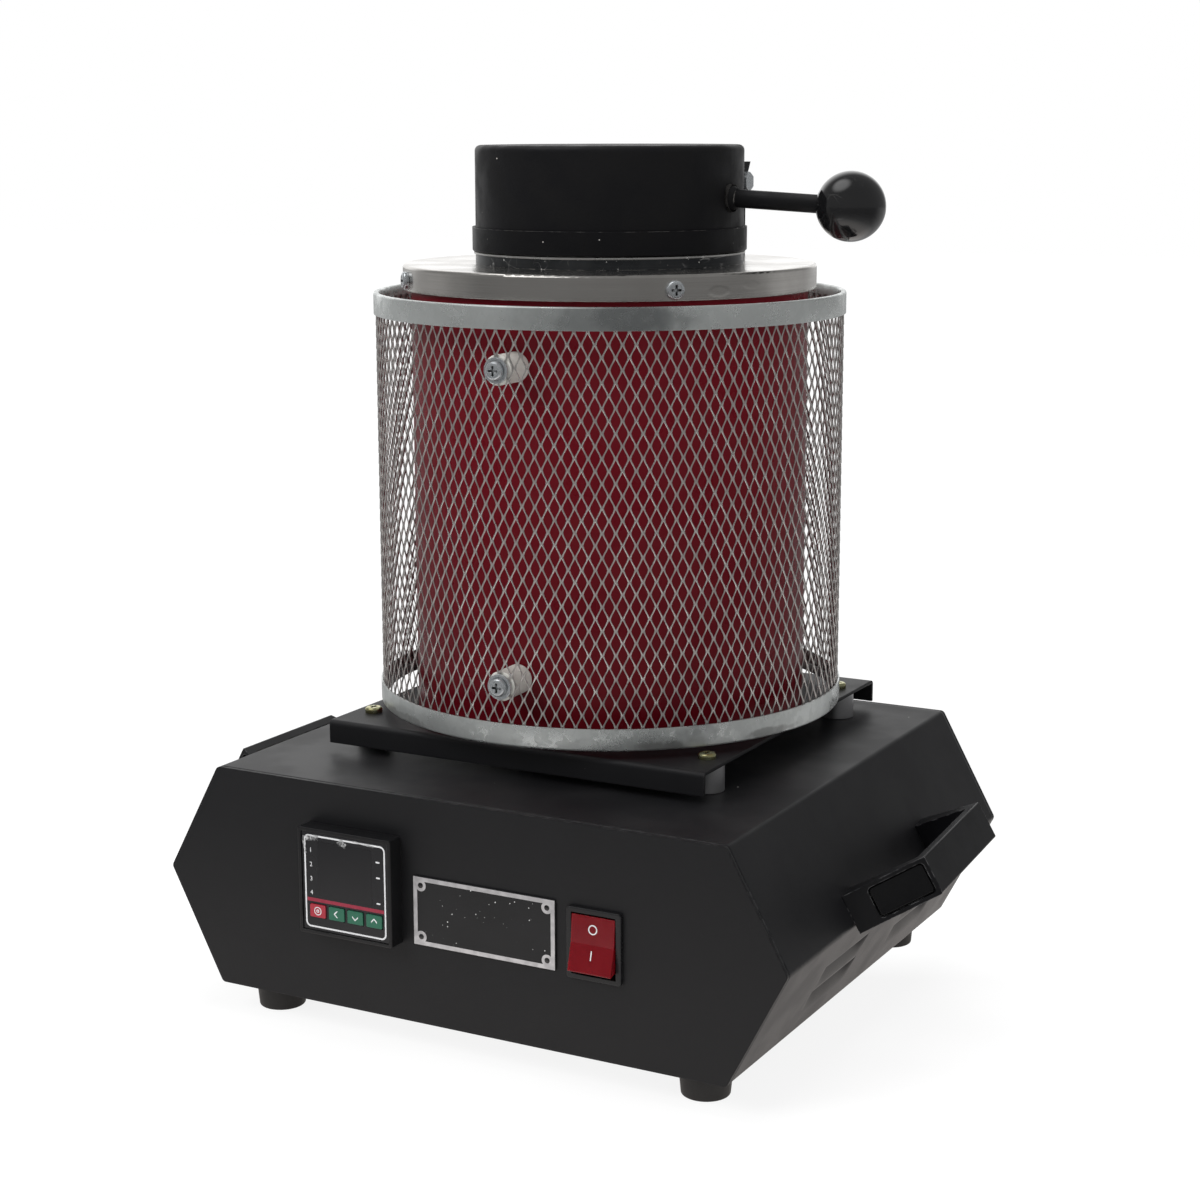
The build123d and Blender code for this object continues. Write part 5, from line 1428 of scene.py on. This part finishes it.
@dataclass
class BaseCasing:
    """The six-sided casing with its pressed louvres, its handles, feet and plate."""

    top_half: float = 125.25 * MM
    ridge_half: float = 152.75 * MM
    base_half: float = 126.25 * MM
    ridge_height: float = 64.7 * MM
    flange: float = 34.0 * MM
    sheet: float = 1.2 * MM
    bend: float = 2.5 * MM
    bend_steps: int = 3
    louvred: int = 1
    columns: int = 140
    slope_rows: int = 54
    louvre_half: float = 23.0 * MM
    louvre_drop: float = 13.0 * MM
    louvre_depth: float = 6.0 * MM
    louvre_rows: tuple[float, float] = (25.0 * MM, 38.5 * MM)
    louvre_columns: tuple[float, float] = (-41.0 * MM, 53.0 * MM)
    louvre_squareness: int = 6
    louvre_hollow: float = 1.8
    lip_gap: float = 0.03 * MM
    lip_clear: float = 0.3 * MM

    def __post_init__(self) -> None:
        """Reads the casing's place from the frame."""
        self.low, self.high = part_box("casing_shell")
        self.middle = (self.low.y + self.high.y) / 2

    def build(self) -> None:
        """Dresses the casing and what is bolted to it."""
        dress(POWDER_COAT, "front_panel", "rear_panel", "support_plate")
        self.shell()
        dress(STEEL_PLATE, "bottom_plate")
        dress(RUBBER, "rubber_feet")
        dress(HANDLE_BLACK, "handle_right", "handle_left")
        dress(ZINC, "foot_screws", "rear_panel_screws", "casing_nuts", "handle_screws")
        dress(YELLOW_ZINC, "plate_screws")
        dress(SPACER_SATIN, "plate_spacers")
        dress(CAP_GLOSS, "handle_caps")

    def shell(self) -> None:
        """Folds one sheet into the floor flanges, the four slopes and the top."""
        rows = self.rows()
        shape = bmesh.new()
        bmesh.ops.create_grid(shape, x_segments=self.columns, y_segments=len(rows) - 1, size=0.5)
        placed = []
        for point in shape.verts:
            row = rows[round((point.co.y + 0.5) * (len(rows) - 1))]
            along = point.co.x * (self.high.y - self.low.y)
            point.co.z = self.depth_at(along, row.lifts)
            placed.append(row.place + Vector((0.0, self.middle + along, 0.0)) - row.outwards * point.co.z)
        slits = [face for face in shape.faces if self.steep(face)]
        for point, place in zip(shape.verts, placed):
            point.co = place
        bmesh.ops.delete(shape, geom=slits, context="FACES")
        piece = as_piece(shape, "casing_pressed", "base", POWDER_COAT, ("casing_shell",),
                         turn_out=False)
        wall = piece.modifiers.new("wall", "SOLIDIFY")
        wall.thickness = self.sheet
        wall.offset = -1.0

    def section(self) -> list[Vector]:
        """The corners of the sheet's section, from one floor flange over the top to the other."""
        floor, top = self.low.z, self.high.z
        half = [(self.base_half - self.flange, floor), (self.base_half, floor),
                (self.ridge_half, self.ridge_height), (self.top_half, top)]
        return [Vector((x, 0.0, z)) for x, z in half + [(-x, z) for x, z in reversed(half)]]

    def rows(self) -> list[Row]:
        """Lists the sheet's lines, from one floor flange over the top to the other.

        Returns:
            The rows, with the bends rounded.
        """
        corners = self.section()
        runs = [end - start for start, end in zip(corners, corners[1:])]
        facing = [Vector((0, 1, 0)).cross(run).normalized() for run in runs]
        cut = [self.bend * tan(one.angle(other) / 2) for one, other in zip(facing, facing[1:])]
        rows = []
        for number, (run, outwards) in enumerate(zip(runs, facing)):
            first = cut[number - 1] if number else 0.0
            last = run.length - (cut[number] if number < len(cut) else 0.0)
            for distance, lifts in self.stations(number, len(runs), first, last, run.length):
                rows.append(Row(corners[number] + run.normalized() * distance, outwards, lifts))
            if number < len(cut):
                centre = rows[-1].place - outwards * self.bend
                for step in range(1, self.bend_steps):
                    leaning = outwards.slerp(facing[number + 1], step / self.bend_steps)
                    rows.append(Row(centre + leaning * self.bend, leaning, ()))
        return rows

    def stations(self, number: int, count: int, first: float, last: float, length: float
                 ) -> list[tuple[float, tuple[float, ...]]]:
        """Lists the lines across one flat of the sheet.

        Args:
            number: Which flat it is.
            count: How many flats there are.
            first: Where it starts, past the bend.
            last: Where it ends, short of the next bend.
            length: Its length between its bends' corners.

        Returns:
            Each line's distance along the flat, and its height above each row of louvres' feet.
        """
        rising, falling = number == self.louvred, number == count - 1 - self.louvred
        if not (rising or falling):
            return [(first, ()), (last, ())]
        lines = []
        for distance in self.steps(first, last, length, rising):
            height = distance if rising else length - distance
            lines.append((distance, tuple(height - foot for foot in self.feet(length))))
        return lines

    def feet(self, length: float) -> list[float]:
        """How far up its slope each row of louvres starts.

        Args:
            length: The slope's length.

        Returns:
            The heights of the louvres' feet.
        """
        return [length - row - self.louvre_drop / 2 for row in self.louvre_rows]

    def steps(self, first: float, last: float, length: float, rising: bool) -> list[float]:
        """Spaces the lines on a slope with louvres, with two of them close together at each slit.

        Args:
            first: Where the flat starts.
            last: Where it ends.
            length: The slope's length between its bends' corners.
            rising: Whether the distances run up the slope.

        Returns:
            The distances from the slope's start.
        """
        spacing = (last - first) / self.slope_rows
        even = [first + spacing * number for number in range(self.slope_rows + 1)]
        lips = [foot + self.louvre_drop for foot in self.feet(length)]
        lips = lips if rising else [length - lip for lip in lips]
        clear = [step for step in even if all(abs(step - lip) > self.lip_clear for lip in lips)]
        return sorted(clear + [lip + gap for lip in lips for gap in (-self.lip_gap, self.lip_gap)])

    def depth_at(self, along: float, lifts: tuple[float, ...]) -> float:
        """How deep the louvres are at a point.

        Args:
            along: The point's place from front to rear, from the casing's middle.
            lifts: Its height up the slope above the foot of each row of louvres.

        Returns:
            The depth, which is 0 outside the louvres.
        """
        inside = [lift for lift in lifts if 0.0 < lift < self.louvre_drop]
        rise = max(inside, default=0.0) / self.louvre_drop
        nearest = min(abs(along + self.middle - column) for column in self.louvre_columns)
        across = min(nearest / self.louvre_half, 1.0)
        return self.louvre_depth * (1.0 - across ** self.louvre_squareness) * rise ** self.louvre_hollow

    def steep(self, face: bmesh.types.BMFace) -> bool:
        """Whether a face stands in a slit, between the cut edge and the pressed one."""
        depths = [point.co.z for point in face.verts]
        return max(depths) - min(depths) > 1.3 * self.sheet


class Way(Enum):
    """Which way a key's arrow points, as its turn in degrees."""

    UP = 0.0
    LEFT = 90.0
    DOWN = 180.0


@dataclass(frozen=True)
class FilmBit:
    """A crumpled bit of clear film, placed from the face's middle in millimetres, turned in degrees."""

    across: float
    up: float
    width: float
    height: float
    turn: float
    ragged_scale: float = 900.0
    ragged_share: float = 0.5
    crease_scale: float = 1600.0
    crease_height: float = 0.17
    lift: float = 0.2

    def shape(self) -> bmesh.types.BMesh:
        """Makes the bit, flat in X and Y, with its ragged edge and its creases."""
        bit = bmesh.new()
        bmesh.ops.create_grid(bit, x_segments=14, y_segments=6, size=0.5)
        bmesh.ops.scale(bit, vec=(self.width * MM, self.height * MM, 1.0), verts=bit.verts)
        for point in bit.verts:
            ragged = noise.noise(Vector((point.co.x, point.co.y, self.across)) * self.ragged_scale)
            point.co.y *= 1.0 + self.ragged_share * ragged
            crease = noise.noise(point.co * self.crease_scale + Vector((self.across, 0, 0)))
            point.co.z = (self.lift + self.crease_height * crease) * MM
        return bit


@dataclass
class Controller:
    """The temperature controller: its printed face and its four keys."""

    line: float = 0.75 * MM
    print_depth: float = 0.04 * MM
    outline_size: float = 42.0 * MM
    outline_corner: float = 2.5 * MM
    stripe_height: float = 1.6 * MM
    stripe_up: float = -8.4 * MM
    stripe_gap: float = 0.6 * MM
    window_size: tuple[float, float] = (28.0 * MM, 25.0 * MM)
    window_up: float = 6.0 * MM
    window_depth: float = 0.02 * MM
    window_corner: float = 1.0 * MM
    mark_size: float = 2.9 * MM
    numeral_heights: tuple[float, ...] = (14.0 * MM, 7.5 * MM, 1.0 * MM, -5.2 * MM)
    numeral_across: float = -17.6 * MM
    dash_heights: tuple[float, ...] = (13.5 * MM, 6.5 * MM, -5.0 * MM)
    dash_across: float = 17.2 * MM
    dash_size: tuple[float, float] = (1.9 * MM, 0.7 * MM)
    dash_corner: float = 0.2 * MM
    ring_reach: float = 1.9 * MM
    inner_ring_reach: float = 0.75 * MM
    ring_line: float = 0.38 * MM
    arrow_reach: float = 1.5 * MM
    arrow_line: float = 0.5 * MM
    film_thickness: float = 0.03 * MM
    film_bits: tuple[FilmBit, ...] = (
        FilmBit(-17.5, 19.6, 8.0, 2.4, 8.0), FilmBit(-1.0, 19.3, 4.5, 3.0, -30.0),
        FilmBit(10.0, 20.6, 11.0, 0.9, -4.0), FilmBit(-20.8, 15.5, 1.1, 6.0, 12.0))

    def __post_init__(self) -> None:
        """Reads the face's place from the frame."""
        low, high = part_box("controller_face")
        self.centre = (low + high) / 2
        self.front = low.y

    def spot(self, across: float, up: float, lift: float = 0.0) -> Matrix:
        """The place of a mark on the face, from the face's middle."""
        return facing_front(self.centre.x + across, self.front - lift, self.centre.z + up)

    def build(self) -> None:
        """Dresses the controller and prints its face and keys."""
        dress(BEZEL_BLACK, "controller_case")
        dress(MOULDED_BLACK, "controller_clamp")
        dress(FACE_BLACK, "controller_face")
        dress(BOARD_GREEN, "controller_board")
        dress(KEY_RED, "key_set")
        dress(KEY_GREEN, "key_shift", "key_down", "key_up")
        self.printing()
        self.key_marks()
        self.film()

    def printing(self) -> None:
        """Prints the white outline, the numerals and dashes, the red stripe and the window."""
        size = self.outline_size
        border = outline(size, size, self.outline_corner, self.line, self.print_depth)
        inside = size - 2 * self.line - self.stripe_gap
        stripe = bar(inside, self.stripe_height, self.print_depth)
        window = bar(*self.window_size, self.window_depth, self.window_corner)
        prints = (("controller_outline", border, 0.0, PRINT_WHITE, "module_plastic"),
                  ("controller_stripe", stripe, self.stripe_up, PRINT_RED, "red_key"),
                  ("display_window", window, self.window_up, WINDOW, "controller_black"))
        for name, shape, up, finish, slot in prints:
            as_piece(join([shape], [self.spot(0, up)]), name, "base", finish)
        shapes, places = [], []
        for number, up in enumerate(self.numeral_heights, start=1):
            shapes.append(numeral(str(number), self.mark_size, self.print_depth))
            places.append(self.spot(self.numeral_across, up))
        for up in self.dash_heights:
            shapes.append(bar(*self.dash_size, self.print_depth, self.dash_corner))
            places.append(self.spot(self.dash_across, up))
        as_piece(join(shapes, places), "controller_marks", "base", PRINT_WHITE)

    def key_marks(self) -> None:
        """Prints two rings on the first key and an arrow on each other one."""
        rings = [ring(self.ring_reach, self.ring_line, self.print_depth),
                 ring(self.inner_ring_reach, self.ring_line, self.print_depth, 16)]
        self.key_mark("set", rings)
        for key, way in {"shift": Way.LEFT, "down": Way.DOWN, "up": Way.UP}.items():
            arrow = chevron(self.arrow_reach, self.arrow_line, self.print_depth, way.value)
            self.key_mark(key, [arrow])

    def key_mark(self, key: str, shapes: list[bmesh.types.BMesh]) -> None:
        """Prints shapes on the middle of a key, so that they ride on it.

        Args:
            key: The key's name, without its prefix.
            shapes: The marks, flat in X and Y.
        """
        low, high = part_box("key_" + key)
        middle = (low + high) / 2
        mark = join(shapes, [facing_front(middle.x, low.y, middle.z)] * len(shapes))
        as_piece(mark, "key_" + key + "_mark", key + "_key", PRINT_WHITE)

    def film(self) -> None:
        """Leaves crumpled bits of the clear film along the top of the face."""
        shapes = [bit.shape() for bit in self.film_bits]
        places = [self.spot(bit.across * MM, bit.up * MM) @ Matrix.Rotation(radians(bit.turn), 4, "Z")
                  for bit in self.film_bits]
        piece = as_piece(join(shapes, places), "film_bits", "base", CLEAR_FILM,
                         turn_out=False)
        wall = piece.modifiers.new("wall", "SOLIDIFY")
        wall.thickness = self.film_thickness


@dataclass
class PowerSwitch:
    """The lit rocker switch."""

    mark_line: float = 0.5 * MM
    mark_depth: float = 0.04 * MM
    ring_radius: float = 2.1 * MM
    stroke_height: float = 4.0 * MM
    ring_down: float = 0.23
    stroke_down: float = 0.68

    def build(self) -> None:
        """Dresses the switch and prints its two marks."""
        dress(SWITCH_BLACK, "switch_frame")
        dress(ROCKER_RED, "switch_rocker")
        low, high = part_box("switch_rocker")
        middle = (low.x + high.x) / 2
        tall = high.z - low.z
        marks = [ring(self.ring_radius, self.mark_line, self.mark_depth),
                 bar(self.mark_line, self.stroke_height, self.mark_depth)]
        places = [on_surface("switch_rocker", middle, high.z - tall * self.ring_down, 0.0),
                  on_surface("switch_rocker", middle, high.z - tall * self.stroke_down, 0.0)]
        as_piece(join(marks, places), "rocker_marks", "rocker", PRINT_WHITE)


@dataclass
class Nameplate:
    """The blank nameplate with its silver border."""

    border: float = 1.9 * MM
    border_inset: float = 0.3 * MM
    lobe_radius: float = 2.6 * MM
    lobe_corner: float = 2.548 * MM
    lobe_depth: float = 0.052 * MM
    depth: float = 0.04 * MM
    solid_head_radius: float = 1.9 * MM
    head_radius: float = 1.25 * MM
    head_rise: float = 0.45 * MM

    def build(self) -> None:
        """Dresses the plate, lays the border and sets the rivets."""
        dress(PLATE_BLACK, "nameplate")
        low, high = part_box("nameplate")
        middle = (low + high) / 2
        width = high.x - low.x - 2 * self.border_inset
        height = high.z - low.z - 2 * self.border_inset
        places = self.rivet_places()
        lobe = 2 * self.lobe_radius
        shapes = [bar(lobe, lobe, self.lobe_depth, self.lobe_corner) for _ in places]
        shapes.insert(0, outline(width, height, 0.0, self.border, self.depth))
        border = join(shapes, [facing_front(middle.x, low.y, middle.z)] + places)
        as_piece(border, "nameplate_border", "base", PLATE_SILVER)
        heads = join([self.rivet() for _ in places], places)
        as_piece(heads, "rivet_heads", "base", RIVET_BLACK, ("nameplate_rivets",))

    def rivet_places(self) -> list[Matrix]:
        """The plate's four rivets, each with its own Z outwards."""
        low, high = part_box("nameplate_rivets")
        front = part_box("nameplate")[0].y
        reach = self.solid_head_radius
        return [facing_front(x, front, z) for x in (low.x + reach, high.x - reach)
                for z in (low.z + reach, high.z - reach)]

    def rivet(self) -> bmesh.types.BMesh:
        """Makes one low domed rivet head that stands on the XY plane."""
        shape = bmesh.new()
        bmesh.ops.create_uvsphere(shape, u_segments=24, v_segments=12, radius=1.0)
        bmesh.ops.bisect_plane(shape, geom=shape.verts[:] + shape.edges[:] + shape.faces[:],
                               plane_co=(0, 0, 0), plane_no=(0, 0, -1), clear_outer=True)
        bmesh.ops.scale(shape, vec=(self.head_radius, self.head_radius, self.head_rise), verts=shape.verts)
        bmesh.ops.holes_fill(shape, edges=[edge for edge in shape.edges if edge.is_boundary], sides=0)
        return shape


@dataclass
class RearAndInside:
    """The mains inlet at the back, and the power parts inside."""

    def build(self) -> None:
        """Dresses the inlet and the power parts."""
        dress(SWITCH_BLACK, "power_inlet")
        dress(ALUMINIUM, "power_heatsink")
        dress(MOULDED_BLACK, "power_module")
        dress(MODULE_IVORY, "terminal_block")


def main() -> None:
    """Builds the furnace's pieces, then the studio."""
    logging.basicConfig(level=logging.INFO, format="%(name)s %(message)s")
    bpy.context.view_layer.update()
    for part in (GuardCage(), Furnace(), LidAssembly(), BaseCasing(), Controller(), PowerSwitch(),
                 Nameplate(), RearAndInside(), Studio()):
        LOG.info("building %s", type(part).__name__)
        part.build()


if __name__ == "__main__":
    main()
